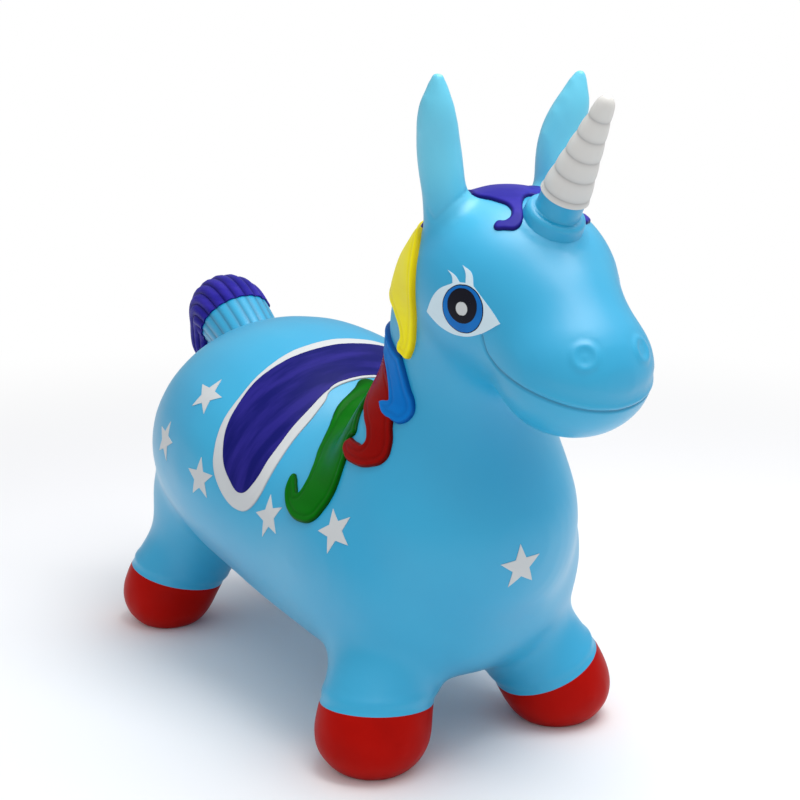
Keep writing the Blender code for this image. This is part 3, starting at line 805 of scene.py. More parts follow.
GREEN = Vinyl(
    "green_paint", screen(0, 100, 4), screen(2, 113, 9), screen(0, 52, 3),
    pattern=Pattern.STREAKS, scale=18.0, roughness=0.3, specular=0.05,
)
WHITE = Vinyl(
    "white_paint", screen(200, 203, 204), screen(192, 196, 199), screen(146, 152, 164),
    specular=0.2,
)
EYE_WHITE = Vinyl(
    "white_paint", screen(205, 225, 234), screen(198, 219, 230), screen(140, 160, 180),
    specular=0.2,
)
IRIS = Vinyl(
    "iris_paint", screen(8, 104, 184), screen(18, 118, 196), screen(6, 48, 102),
    scale=60.0, specular=0.15,
)
PUPIL = Vinyl(
    "pupil_paint", screen(12, 12, 26), screen(18, 18, 36), screen(4, 4, 10),
    scale=60.0, specular=0.15,
)
PLUG = Vinyl("plug_plastic", screen(222, 222, 218), screen(212, 212, 206), screen(150, 150, 144), scale=90.0)


def add_piece(
    name: str, mesh: bpy.types.Mesh, finish: Vinyl, nodes: Sequence[str], sharp: float = SHARP
) -> None:
    """Add a finished piece to the scene.

    Args:
        name: The piece's name.
        mesh: Its closed mesh, in place.
        finish: Its finish.
        nodes: The CAD nodes it stands for.
        sharp: The angle in degrees from which an edge stays sharp.
    """
    mesh.transform(CENTRED)
    mesh.materials.clear()
    mesh.materials.append(finish.material())
    mesh.shade_smooth()
    mesh.set_sharp_from_angle(angle=math.radians(sharp))
    obj = link(name, mesh)
    mesh.name = name
    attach(obj, HOPPER_BODY)
    if nodes:
        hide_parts(*nodes)
    mesh.calc_loop_triangles()
    LOG.info("%s: %d triangles", name, len(mesh.loop_triangles))


# Sub-assemblies


@dataclass(frozen=True)
class Hoof:
    """One hoof: where its leg stands and how its upper edge leans.

    The hip and the knee hold y, height and radius; the foot's stations hold their height and
    their share of the hoof's radius.
    """

    name: str
    side: Side
    x: float
    hip_x: float
    radius: float
    outward_lean: float
    forward_lean: float
    track: float = 0.091
    height: float = 0.051
    hip: Point = (0.050, 0.130, 0.064)
    knee: Point = (0.066, 0.080, 0.0465)
    foot: Sequence[tuple[float, float]] = ((0.031, 0.96), (0.022, 1.0), (-0.006, 0.64))
    room: float = 1.25

    def leg(self) -> bpy.types.Mesh:
        """Model the leg from inside the trunk to below the floor.

        Returns:
            A closed tube.
        """
        side = self.side.value
        upper = ((self.hip_x, *self.hip), ((self.hip_x + self.x) / 2, *self.knee))
        return tube((
            *((x, side * y, z, radius) for x, y, z, radius in upper),
            *((self.x, side * self.track, z, self.radius * share) for z, share in self.foot),
        ))

    def edge(self) -> tuple[Vector, Vector]:
        """Find the plane of the upper edge.

        Returns:
            A point of the plane and its normal.
        """
        lean = Matrix.Rotation(self.side.value * math.radians(self.outward_lean), 3, "X")
        turn = lean @ Matrix.Rotation(-math.radians(self.forward_lean), 3, "Y")
        return Vector((self.x, self.side.value * self.track, self.height)), turn @ Vector((0, 0, 1))

    def near(self, points: np.ndarray) -> np.ndarray:
        """Return which points lie round this leg."""
        away = np.abs(points[:, :2] - (self.x, self.side.value * self.track)).max(axis=1)
        return (away < self.radius * self.room) & (points[:, 2] < 2 * self.height)

    def above(self, points: np.ndarray) -> np.ndarray:
        """Return how far points lie above the upper edge."""
        centre, normal = self.edge()
        return (points - np.array(centre)) @ np.array(normal)


# A leg's x at the floor, its x at the hip and the radius of its hoof
FRONT_LEG = (0.150, 0.110, 0.050)
REAR_LEG = (-0.232, -0.206, 0.048)


@dataclass
class BlownSkin:
    """The hollow vinyl skin: trunk, neck, head, ears, legs and horn collar in one blow.

    Stations on the mid-plane hold x, z and radius. Ripples hold the height, the place and the
    width of soft bumps that follow a line.
    """

    torso: Sequence[Point] = (
        (-0.287, 0.180, 0.020), (-0.272, 0.186, 0.052), (-0.212, 0.186, 0.098), (-0.107, 0.189, 0.121),
        (0.013, 0.153, 0.108), (0.108, 0.153, 0.107), (0.157, 0.170, 0.093), (0.183, 0.182, 0.057),
    )
    torso_widening: float = 1.16
    neck: Sequence[Point] = (
        (0.110, 0.120, 0.085), (0.122, 0.170, 0.104), (0.128, 0.235, 0.095),
        (0.145, 0.300, 0.067), (0.159, 0.350, 0.069), (0.171, 0.400, 0.064),
    )
    bridge: Sequence[Point] = ((0.193, 0.380, 0.060), (0.243, 0.364, 0.062), (0.283, 0.340, 0.048))
    skull: tuple[float, float] = (0.204, 0.385)
    skull_radii: Point = (0.083, 0.080, 0.070)
    skull_pitch: float = 20
    muzzle: tuple[float, float] = (0.279, 0.335)
    muzzle_radii: Point = (0.056, 0.062, 0.052)
    muzzle_pitch: float = 19
    ear: Sequence[Station] = (
        (0.187, 0.046, 0.400, 0.0190), (0.1873, 0.050, 0.445, 0.0170), (0.186, 0.0555, 0.490, 0.0168),
        (0.1935, 0.062, 0.518, 0.0130), (0.1980, 0.0637, 0.5425, 0.0048),
    )
    hooves: Sequence[Hoof] = (
        Hoof("hoof_front_right", Side.RIGHT, *FRONT_LEG, outward_lean=6, forward_lean=6),
        Hoof("hoof_front_left", Side.LEFT, *FRONT_LEG, outward_lean=24, forward_lean=3),
        Hoof("hoof_rear_right", Side.RIGHT, *REAR_LEG, outward_lean=11, forward_lean=-9),
        Hoof("hoof_rear_left", Side.LEFT, *REAR_LEG, outward_lean=14, forward_lean=-9),
    )
    mouth: Sequence[Point] = (
        (0.2505, -0.0610, 0.3591), (0.2509, -0.0594, 0.3528), (0.2531, -0.0574, 0.3455),
        (0.2620, -0.0570, 0.3390), (0.2789, -0.0581, 0.3336), (0.2947, -0.0556, 0.3284),
        (0.3082, -0.0473, 0.3227), (0.3217, -0.0279, 0.3157), (0.3270, 0.0, 0.3122),
    )
    mouth_steps: int = 8
    mouth_depth: float = 0.0013
    mouth_width: float = 0.0011
    mouth_shade: float = 0.55
    mouth_line: float = 0.0008
    mouth_margin: float = 0.007
    lip_x: tuple[float, float] = (0.285, 0.325)
    lip: Sequence[Ripple] = ((0.0007, 0.0032, 0.0018), (-0.0007, 0.0095, 0.0042))
    fold: Sequence[Point] = (
        (0.1886, -0.0670, 0.4413), (0.1920, -0.0657, 0.4373), (0.1949, -0.0640, 0.4357),
        (0.1986, -0.0608, 0.4401), (0.2017, -0.0558, 0.4454), (0.2025, -0.0492, 0.4505),
        (0.1991, -0.0396, 0.4550),
    )
    fold_steps: int = 6
    fold_depth: float = 0.0007
    fold_width: float = 0.0022
    fold_shade: float = 0.06
    fold_line: float = 0.00154
    fold_margin: float = 0.006
    nostril_at: tuple[float, float] = (-0.0256, 0.3524)
    nostril_spread: float = 0.011
    nostril_reach: float = 0.012
    nostril_margin: float = 0.017
    nostril: Sequence[Ripple] = (
        (0.0007, 0.0082, 0.0026), (-0.0009, 0.0, 0.0055), (0.0004, 0.0, 0.0026), (-0.0002, 0.0135, 0.0028),
    )
    cuff: Sequence[Ripple] = ((0.0009, 0.0090, 0.0034), (-0.0006, 0.0030, 0.0028))
    crease_cuts: int = 3
    horn_foot_x: float = 0.2508
    horn_lean: float = 33.0
    thin_heights: tuple[float, float] = (0.415, 0.480)
    thin_widths: tuple[float, float] = (0.018, 0.036)
    dip: float = 0.011
    dip_x: float = 0.020
    dip_length: float = 0.085
    dip_heights: tuple[float, float, float, float] = (0.200, 0.270, 0.300, 0.360)
    collar_radius: float = 0.0166
    collar_height: float = 0.0234
    collar_ring: float = 0.0226
    collar_step: float = 0.0090
    collar_fillet: float = 0.0013
    collar_shoulder: float = 0.0046
    collar_flare: float = 0.0012
    collar_root: float = 0.012
    collar_swell: float = 0.0018
    collar_spread: float = 0.007
    coarse: float = 0.007
    coarse_passes: int = 24
    medium: float = 0.0056
    medium_passes: int = 4
    kept_share: float = 0.78

    def __post_init__(self) -> None:
        """Blow the form and set the horn's frame on its forehead."""
        self.form = self.blow()
        surface = tree_of(self.form)
        foot = surface.ray_cast(Vector((self.horn_foot_x, 0, 1)), Vector((0, 0, -1)))[0]
        self.horn_frame = Matrix.Translation(foot) @ Matrix.Rotation(math.radians(self.horn_lean), 4, "Y")
        self.mesh = self.creased(self.stood())
        self.surface = tree_of(self.mesh)

    def blow(self) -> bpy.types.Mesh:
        """Blow the skin as it is before its creases.

        Returns:
            A closed mesh, the same on both sides, with the dip in the back.
        """
        legs = [hoof.leg() for hoof in self.hooves]
        trunk = joined([
            tube(spine(self.torso), self.torso_widening),
            tube(spine(self.neck)),
            tube(spine(self.bridge)),
            ball(self.skull, self.skull_radii, self.skull_pitch),
            ball(self.muzzle, self.muzzle_radii, self.muzzle_pitch),
            *legs,
        ])
        ear = tube(self.ear)
        whole = joined([rounded(trunk, self.coarse, self.coarse_passes), ear, mirrored(ear)])
        across = (False, True, False)
        form = modified(
            rounded(whole, self.medium, self.medium_passes), "MIRROR",
            use_axis=across, use_bisect_axis=across, bisect_threshold=SEAM, merge_threshold=SEAM,
        )
        points = positions(form)
        low, full, fading, high = self.dip_heights
        share = ease(points[:, 2], low, full) - ease(points[:, 2], fading, high)
        points[:, 2] -= self.dip * share * bump(points[:, 0], self.dip_x, self.dip_length)
        return placed(form, points)

    def collar(self) -> bpy.types.Mesh:
        """Turn the seat of the horn: a short cylinder on a low ring.

        Returns:
            A closed mesh that is rooted in the forehead.
        """
        radius, ring, top = self.collar_radius, self.collar_ring, self.collar_step
        fillet, shoulder = self.collar_fillet, self.collar_shoulder
        quarter = [math.pi / 2 * i / FILLET_STEPS for i in range(FILLET_STEPS + 1)]
        inner = [(radius + fillet * (1 - math.cos(t)), top + fillet * (1 - math.sin(t))) for t in quarter]
        outer = [(ring - shoulder * (1 - math.sin(t)), top - shoulder * (1 - math.cos(t))) for t in quarter]
        foot = [(ring + self.collar_flare, -self.collar_root), (0.0, -self.collar_root)]
        head = [(0.0, self.collar_height), (radius, self.collar_height)]
        return turned([*head, *inner, *outer, *foot], self.horn_frame)

    def stood(self) -> bpy.types.Mesh:
        """Refine the form, swell it round the collar and stand it on the floor.

        Returns:
            A closed mesh with flat soles.
        """
        mesh = modified(self.form.copy(), "SUBSURF", levels=1, render_levels=1)
        mesh = modified(mesh, "DECIMATE", ratio=self.kept_share)
        points, normals = positions(mesh), positions(mesh, "normal")
        away = round_axis(points, self.horn_frame)[1]
        share = 1 - ease(away, self.collar_ring, self.collar_ring + self.collar_spread)
        rise = self.collar_swell * share * (points[:, 2] > self.skull[1])
        return cut_off(placed(mesh, points + normals * rise[:, None]), (0, 0, 0), (0, 0, 1), True)

    def creased(self, mesh: bpy.types.Mesh) -> bpy.types.Mesh:
        """Press the mouth, the ear folds, the nostrils and the cuffs into the skin.

        Args:
            mesh: The smooth skin.

        Returns:
            The same skin, finer round the face, with painted shade along the mouth and the ear folds and
            painted light on the ears and upper head.
        """
        surface = tree_of(mesh)
        drawn = smooth_path(self.mouth, self.mouth_steps)
        half = np.array([surface.find_nearest(Vector(point))[0] for point in drawn])
        path = np.vstack([half, (half * (1, -1, 1))[-2::-1]])
        folds = [smooth_path(self.fold, self.fold_steps) * (1, -side.value, 1) for side in Side]
        dishes = []
        for side in Side:
            y, z = -side.value * self.nostril_at[0], self.nostril_at[1]
            dishes.append(tangent_frame(surface, (1, y, z), (-1, 0, 0), self.nostril_spread))

        def refine(shape: bmesh.types.BMesh) -> None:
            """Split the faces round the mouth, the folds and the nostrils.

            Args:
                shape: The skin's edit mesh.
            """
            points = np.array([v.co for v in shape.verts])
            close_by = nearest_on_path(points, path)[0] < self.mouth_margin
            for fold in folds:
                close_by |= nearest_on_path(points, fold)[0] < self.fold_margin
            for dish in dishes:
                away = np.linalg.norm(points - np.array(dish.translation), axis=1)
                close_by |= away < self.nostril_margin
            split_near(shape, close_by, self.crease_cuts)

        reshaped(mesh, refine)
        points, normals = positions(mesh), positions(mesh, "normal")
        distance, offset = nearest_on_path(points, path)
        above = distance * np.sign(offset[:, 2])
        rise = ease(points[:, 0], *self.lip_x) * ripples(above, self.lip)
        rise -= self.mouth_depth * bump(distance, 0, self.mouth_width)
        # Painted shade: a dark line down the mouth groove and faint lines along the ear folds.
        crease = self.mouth_shade * bump(distance, 0, self.mouth_line)
        for fold in folds:
            distance = nearest_on_path(points, fold)[0]
            rise -= self.fold_depth * bump(distance, 0, self.fold_width)
            crease = np.maximum(crease, self.fold_shade * bump(distance, 0, self.fold_line))
        for dish in dishes:
            depth, radius = round_axis(points, dish)
            rise += (np.abs(depth) < self.nostril_reach) * ripples(radius, self.nostril)
        for hoof in self.hooves:
            rise += hoof.near(points) * ripples(hoof.above(points), self.cuff)
        # Painted light: the ears and upper head are painted paler, as if lit from above and through the
        # vinyl.
        thin = ease(points[:, 2], *self.thin_heights) * ease(np.abs(points[:, 1]), *self.thin_widths)
        mark(mesh, "crease", crease)
        mark(mesh, "thin", thin)
        return placed(mesh, points + normals * rise[:, None])

    def split(self) -> dict[str, bpy.types.Mesh]:
        """Cut the skin along the hooves' leaning edges.

        Returns:
            The closed mesh of the body and of each hoof, by name.
        """
        shape = bmesh.new()
        shape.from_mesh(self.mesh)
        for hoof in self.hooves:
            place, normal = hoof.edge()
            near = hoof.near(np.array([f.calc_center_median() for f in shape.faces]))
            faces = [f for f, is_near in zip(shape.faces, near) if is_near]
            edges = {e for f in faces for e in f.edges}
            verts = {v for f in faces for v in f.verts}
            around = [*faces, *edges, *verts]
            bmesh.ops.bisect_plane(shape, geom=around, plane_co=place, plane_no=normal, dist=WELD)
        centres = np.array([f.calc_center_median() for f in shape.faces])
        zones = np.zeros(len(centres), dtype=int)
        for number, hoof in enumerate(self.hooves, start=1):
            zones[hoof.near(centres) & (hoof.above(centres) < 0)] = number
        meshes = {}
        for number, name in enumerate(["body_skin", *(hoof.name for hoof in self.hooves)]):
            copy = shape.copy()
            copy.faces.ensure_lookup_table()
            others = [copy.faces[i] for i in np.flatnonzero(zones != number)]
            bmesh.ops.delete(copy, geom=others, context="FACES")
            close(copy)
            meshes[name] = bpy.data.meshes.new(name)
            copy.to_mesh(meshes[name])
            copy.free()
        shape.free()
        return meshes

    def build(self) -> None:
        """Add the body, the four hooves and the horn collar."""
        for name, mesh in self.split().items():
            add_piece(name, mesh, SKY if name == "body_skin" else HOOF, [name], SKIN_SHARP)
        add_piece("horn_collar", self.collar(), SKY, [])


def inside(points: np.ndarray, path: np.ndarray) -> np.ndarray:
    """Find which points of a plane lie inside a closed path.

    Args:
        points: One point per row.
        path: The closed path's corners, one per row.

    Returns:
        Whether each point lies inside.
    """
    odd = np.zeros(len(points), dtype=bool)
    for a, b in zip(path, path[1:]):
        if a[1] != b[1]:
            spans = (a[1] > points[:, 1]) != (b[1] > points[:, 1])
            crossing = a[0] + (b[0] - a[0]) * (points[:, 1] - a[1]) / (b[1] - a[1])
            odd ^= spans & (points[:, 0] < crossing)
    return odd


def clipped(faces: np.ndarray, level: np.ndarray) -> tuple[list[tuple[int, ...]], np.ndarray, np.ndarray]:
    """Cut triangles along the line where a value passes zero and keep the positive side.

    Args:
        faces: Three point numbers per row.
        level: The value at each point.

    Returns:
        The kept faces, and for each point they use its two old points and the share of the second.
    """
    ends = [(i, i) for i in range(len(level))]
    shares = [0.0] * len(level)
    made: dict[tuple[int, int], int] = {}

    def cut(a: int, b: int) -> int:
        """Cut an edge where the value passes zero.

        Args:
            a: The number of one end.
            b: The number of the other end.

        Returns:
            The number of the new point.
        """
        key = (min(a, b), max(a, b))
        if key not in made:
            made[key] = len(ends)
            ends.append(key)
            shares.append(level[key[0]] / (level[key[0]] - level[key[1]]))
        return made[key]

    kept = level > 0
    counts = kept[faces].sum(axis=1)
    result = [tuple(face) for face in faces[counts == 3].tolist()]
    for face in faces[(counts == 1) | (counts == 2)].tolist():
        alone = kept[face].sum() == 1
        first = next(i for i in range(3) if kept[face[i]] == alone)
        a, b, c = face[first], face[first - 2], face[first - 1]
        result.append((a, cut(a, b), cut(a, c)) if alone else (b, c, cut(a, c), cut(a, b)))
    return result, np.array(ends), np.array(shares)


@dataclass
class Relief:
    """What an outline picks out of the skin, lifted off it with a soft rim that takes painted shade."""

    skin: BlownSkin
    root: float = 0.0012
    lip: float = 0.0002
    margin: float = 0.006
    refined: float = 0.0035
    steepest: float = 0.16
    ear_room: float = 0.0005
    ear_steps: int = 6
    channel_in: float = 0.0058
    channel_width: float = 0.0014
    channel_shade: float = 0.22
    rim_shade: float = 0.75

    def __post_init__(self) -> None:
        """Keep a fine copy of the skin's form."""
        self.fine = modified(self.skin.form.copy(), "SUBSURF", levels=2, render_levels=2)

    def level(
        self, points: np.ndarray, normals: np.ndarray, path: np.ndarray, axes: tuple[int, int]
    ) -> np.ndarray:
        """Return how far points lie inside an outline, measured along the skin.

        Args:
            points: Points of the skin.
            normals: The skin's normals there.
            path: The closed outline.
            axes: The two axes the outline is drawn in.

        Returns:
            The distance of each point to the outline, negative outside.
        """
        flat_points = points[:, axes]
        distance, offset = nearest_on_path(flat_points, path)
        away = offset / np.maximum(distance, WELD)[:, None]
        slope = np.sqrt(np.maximum(1.0 - (away * normals[:, axes]).sum(axis=1) ** 2, self.steepest))
        return np.where(inside(flat_points, path), distance, -distance) / slope

    def beside_ears(self, points: np.ndarray) -> np.ndarray:
        """Measure how clear points are of the ears' roots.

        Args:
            points: Points of the skin.

        Returns:
            The distance of each point to the nearer ear, negative in its room.
        """
        ear = smooth_path(self.skin.ear, self.ear_steps)
        both = [nearest_on_path(points, ear[:, :3] * (1, side.value, 1))[0] for side in Side]
        return np.minimum(*both) - ear[0, 3] - self.ear_room

    def chosen(self, path: np.ndarray, axes: tuple[int, int], floor: float) -> bpy.types.Mesh:
        """Return the skin round an outline, finer along it.

        Args:
            path: The closed outline.
            axes: The two axes the outline is drawn in.
            floor: The height below which the skin is left out.

        Returns:
            An open mesh of triangles.
        """
        def crop(shape: bmesh.types.BMesh) -> None:
            """Leave out what is far from the outline and split what is close to it.

            Args:
                shape: The skin's edit mesh.
            """
            points = np.array([v.co for v in shape.verts])
            low, high = path.min(axis=0) - self.margin, path.max(axis=0) + self.margin
            far = ((points[:, axes] < low) | (points[:, axes] > high)).any(axis=1) | (points[:, 2] < floor)
            bmesh.ops.delete(shape, geom=[v for v, out in zip(shape.verts, far) if out], context="VERTS")
            points = np.array([v.co for v in shape.verts])
            close_by = nearest_on_path(points[:, axes], path)[0] < self.refined
            split_near(shape, close_by, 1)
            bmesh.ops.triangulate(shape, faces=shape.faces)

        return reshaped(self.fine.copy(), crop)

    def raised(
        self, outline: Outline, height: float, rim: float, groove: float = 0.0, upright: bool = False
    ) -> bpy.types.Mesh:
        """Return the relief an outline picks out of the skin.

        Args:
            outline: The outline, in side view or from above.
            height: How far the relief stands above the skin.
            rim: The radius of its rim.
            groove: The depth of a channel that follows the rim.
            upright: Whether the outline is drawn from above.

        Returns:
            A closed mesh rooted in the skin, with painted shade along its rim and its channel.
        """
        axes, floor = ((0, 1), self.skin.skull[1]) if upright else ((0, 2), 0.0)
        corners = positions(flat(outline, Matrix()))[:, :2]
        path = np.vstack([corners, corners[:1]])
        mesh = self.chosen(path, axes, floor)
        faces = np.empty(len(mesh.polygons) * 3, dtype=np.int32)
        mesh.polygons.foreach_get("vertices", faces)
        points, normals = positions(mesh), positions(mesh, "normal")
        level = self.level(points, normals, path, axes)
        if upright:
            level = np.minimum(level, self.beside_ears(points))
        kept, ends, shares = clipped(faces.reshape(-1, 3), level)
        used, numbers = np.unique(np.concatenate([np.array(face) for face in kept]), return_inverse=True)
        ends, shares = ends[used], shares[used][:, None]
        place = points[ends[:, 0]] * (1 - shares) + points[ends[:, 1]] * shares
        facing = normals[ends[:, 0]] * (1 - shares) + normals[ends[:, 1]] * shares
        depth = np.maximum(level[ends[:, 0]] * (1 - shares[:, 0]) + level[ends[:, 1]] * shares[:, 0], 0.0)
        edge = 1 - np.minimum(depth / rim, 1.0)
        channel = bump(depth, self.channel_in, self.channel_width)
        rise = (height + self.lip) * np.sqrt(1 - edge**2) - self.lip - groove * channel
        # Painted shade: darker at the foot of the rim and along the channel.
        rim_painted_shade = self.rim_shade * (1 - ease(depth, 0.0, rim))
        crease = np.maximum(self.channel_shade * channel * (groove > 0), rim_painted_shade)
        return self.shut(kept, numbers, place + facing * rise[:, None], place - facing * self.root, crease)

    def shut(
        self,
        faces: Sequence[tuple[int, ...]],
        numbers: np.ndarray,
        top: np.ndarray,
        under: np.ndarray,
        crease: np.ndarray,
    ) -> bpy.types.Mesh:
        """Close a sheet into a body.

        Args:
            faces: The faces of the sheet.
            numbers: The new number of each of their corners, in order.
            top: The upper points.
            under: The lower points.
            crease: The painted shade of the upper points, kept as their crease attribute.

        Returns:
            A closed mesh.
        """
        rows = []
        start = 0
        for face in faces:
            rows.append(numbers[start:start + len(face)].tolist())
            start += len(face)
        sides = {(a, b) for row in rows for a, b in zip(row, row[1:] + row[:1])}
        count = len(top)
        walls = [(b, a, a + count, b + count) for a, b in sides if (b, a) not in sides]
        lower = [[number + count for number in reversed(row)] for row in rows]
        mesh = bpy.data.meshes.new("relief")
        mesh.from_pydata(np.vstack([top, under]).tolist(), [], [*rows, *lower, *walls])
        mark(mesh, "crease", np.concatenate([crease, np.zeros(count)]))
        return mesh


@dataclass(frozen=True)
class Lock:
    """One raised lock of the mane, drawn in side view."""

    name: str
    finish: Vinyl
    height: float
    outline: Outline


LOCKS = (
    Lock("mane_lock_yellow", YELLOW, height=0.0042, outline=(
        (0.085, 0.432, True), (0.172, 0.4262, True), (0.1780, 0.4200), (0.1870, 0.398),
        (0.1870, 0.376), (0.1762, 0.351), (0.1722, 0.3407), (0.1672, 0.3325), (0.1615, 0.3272),
        (0.1570, 0.3292), (0.1508, 0.3325), (0.1510, 0.3378), (0.1562, 0.3461), (0.1480, 0.3595),
        (0.1370, 0.3655), (0.070, 0.385, True),
    )),
    Lock("mane_lock_blue", BLUE, height=0.0038, outline=(
        (0.065, 0.346, True), (0.1204, 0.3440), (0.1424, 0.3325), (0.1530, 0.3278, True), (0.1570, 0.3171),
        (0.1623, 0.3038), (0.1666, 0.2951), (0.1666, 0.2842), (0.1580, 0.2767), (0.1490, 0.2778),
        (0.1370, 0.2809), (0.1283, 0.2886, True), (0.1330, 0.2909), (0.1412, 0.2926, True), (0.136, 0.3045),
        (0.125, 0.318), (0.065, 0.332, True),
    )),
    Lock("mane_lock_red", RED, height=0.0034, outline=(
        (0.060, 0.336, True), (0.125, 0.320, True), (0.1475, 0.295), (0.1508, 0.2756), (0.1560, 0.2612),
        (0.1553, 0.2490), (0.1442, 0.2424), (0.1220, 0.2402), (0.1079, 0.2424), (0.0985, 0.2493),
        (0.1060, 0.2563, True), (0.1191, 0.2558), (0.1290, 0.2574), (0.1270, 0.2640), (0.1156, 0.2722),
        (0.1020, 0.2815), (0.0950, 0.2960, True), (0.060, 0.306, True),
    )),
    Lock("mane_lock_green", GREEN, height=0.0030, outline=(
        (-0.0112, 0.330, True), (0.098, 0.318, True), (0.0985, 0.2747), (0.1045, 0.2661), (0.1085, 0.2602),
        (0.1035, 0.2550), (0.1093, 0.2443), (0.1104, 0.2321), (0.1099, 0.2149), (0.1060, 0.2017),
        (0.0992, 0.1918), (0.0811, 0.1866), (0.0635, 0.1885), (0.0488, 0.1962), (0.0407, 0.2072),
        (0.0404, 0.2134), (0.0467, 0.2124), (0.0555, 0.2074), (0.0630, 0.2045), (0.0642, 0.2108),
        (0.0574, 0.2196), (0.0398, 0.2305), (0.0225, 0.2417), (0.0093, 0.2525), (-0.0030, 0.2658),
        (-0.0112, 0.2723, True),
    )),
)


@dataclass
class Mane:
    """The raised locks down the neck and the forelock round the horn."""

    relief: Relief
    locks: Sequence[Lock] = LOCKS
    forelock: Outline = (
        (0.095, -0.040), (0.120, -0.060), (0.152, -0.068), (0.172, -0.060), (0.190, -0.045),
        (0.1985, -0.0340, True), (0.2065, -0.0295), (0.2185, -0.0262), (0.2295, -0.0237),
        (0.2365, -0.0270), (0.2385, -0.0325), (0.2350, -0.0385), (0.2375, -0.0425), (0.2440, -0.0375),
        (0.2485, -0.0300), (0.2455, -0.0220), (0.2365, -0.0160), (0.2275, -0.0090), (0.2230, -0.0030),
    )
    forelock_height: float = 0.0025
    rim: float = 0.0026
    groove: float = 0.0004

    def build(self) -> None:
        """Add the four locks and the forelock."""
        for lock in self.locks:
            mesh = self.relief.raised(lock.outline, lock.height, self.rim, self.groove)
            add_piece(lock.name, mesh, lock.finish, [lock.name], RELIEF_SHARP)
        fringe = [*self.forelock, *((x, -y, *corner) for x, y, *corner in reversed(self.forelock))]
        mesh = self.relief.raised(fringe, self.forelock_height, self.rim, upright=True)
        add_piece("mane_forelock", mesh, PURPLE, ["mane_forelock"], RELIEF_SHARP)


@dataclass
class Saddle:
    """The purple saddle cloth and its white border."""

    relief: Relief
    outline: Outline = (
        (-0.0640, 0.335, True), (-0.0635, 0.298), (-0.0575, 0.268), (-0.0509, 0.2258), (-0.0340, 0.1896),
        (-0.0072, 0.1748), (0.0097, 0.1821), (0.0174, 0.2064), (0.0108, 0.2346), (-0.0012, 0.2578),
        (-0.0105, 0.2700), (-0.0118, 0.335, True),
    )
    cloth: Outline = (
        (-0.0540, 0.335, True), (-0.0548, 0.296), (-0.0560, 0.280), (-0.0520, 0.2547), (-0.0404, 0.2218),
        (-0.0240, 0.1990), (-0.0067, 0.1893), (0.0043, 0.1995), (0.0068, 0.2188), (0.0010, 0.2428),
        (-0.0088, 0.2655), (-0.0126, 0.2712), (-0.0132, 0.335, True),
    )
    height: float = 0.0011
    step: float = 0.0004
    rim: float = 0.0009

    def build(self) -> None:
        """Add the cloth and the border under it."""
        cloth = self.relief.raised(self.cloth, self.height + self.step, self.rim)
        add_piece("saddle_cloth", cloth, CLOTH, ["saddle_cloth"], RELIEF_SHARP)
        border = self.relief.raised(self.outline, self.height, self.rim)
        add_piece("saddle_border", border, WHITE, ["saddle_border"], RELIEF_SHARP)


FILM_START = 0.02
FILM_REACH = 0.06
FILM_SINK = 0.0003
FILM_LEVEL = 3


def film_tree() -> bpy.types.NodeTree:
    """Return the tree that lays flat shapes on the skin as slim paint films, made once.

    Returns:
        A geometry tree with the inputs Skin, Reach, Thickness, Level and Finish.
    """
    name = "paint_film"
    if name in bpy.data.node_groups:
        return bpy.data.node_groups[name]
    graph = Graph.shaping(name, skin="Object", reach="Float", thickness="Float", level="Int")
    given = graph.node("NodeGroupInput").outputs
    skin = graph.node("GeometryNodeObjectInfo", {"Object": given["Skin"]}).outputs["Geometry"]
    split = graph.first("GeometryNodeSubdivideMesh", {0: given["Geometry"], 1: given["Level"]})
    held = graph.node("GeometryNodeCaptureAttribute", {0: split})
    held.capture_items.new("VECTOR", "facing")
    graph.feed(held.inputs[1], graph.first("GeometryNodeInputNormal"))
    inward = graph.scaled(held.outputs[1], -1.0)
    aim = {"Target Geometry": skin, "Ray Direction": inward, "Ray Length": given["Reach"]}
    ray = graph.node("GeometryNodeRaycast", aim).outputs
    sunk = graph.scaled(inward, FILM_SINK)
    landing = {0: held.outputs[0], 1: ray["Is Hit"], 2: ray["Hit Position"], 3: sunk}
    landed = graph.first("GeometryNodeSetPosition", landing)
    thick = graph.maths("ADD", given["Thickness"], FILM_SINK)
    both = graph.node("GeometryNodeJoinGeometry")
    graph.feed(both.inputs[0], graph.first("GeometryNodeExtrudeMesh", {0: landed, 3: thick, 4: False}))
    graph.feed(both.inputs[0], graph.first("GeometryNodeFlipFaces", {0: landed}))
    shut = graph.first("GeometryNodeMergeByDistance", {0: both.outputs[0], 2: WELD})
    return graph.finished(shut, given["Finish"])


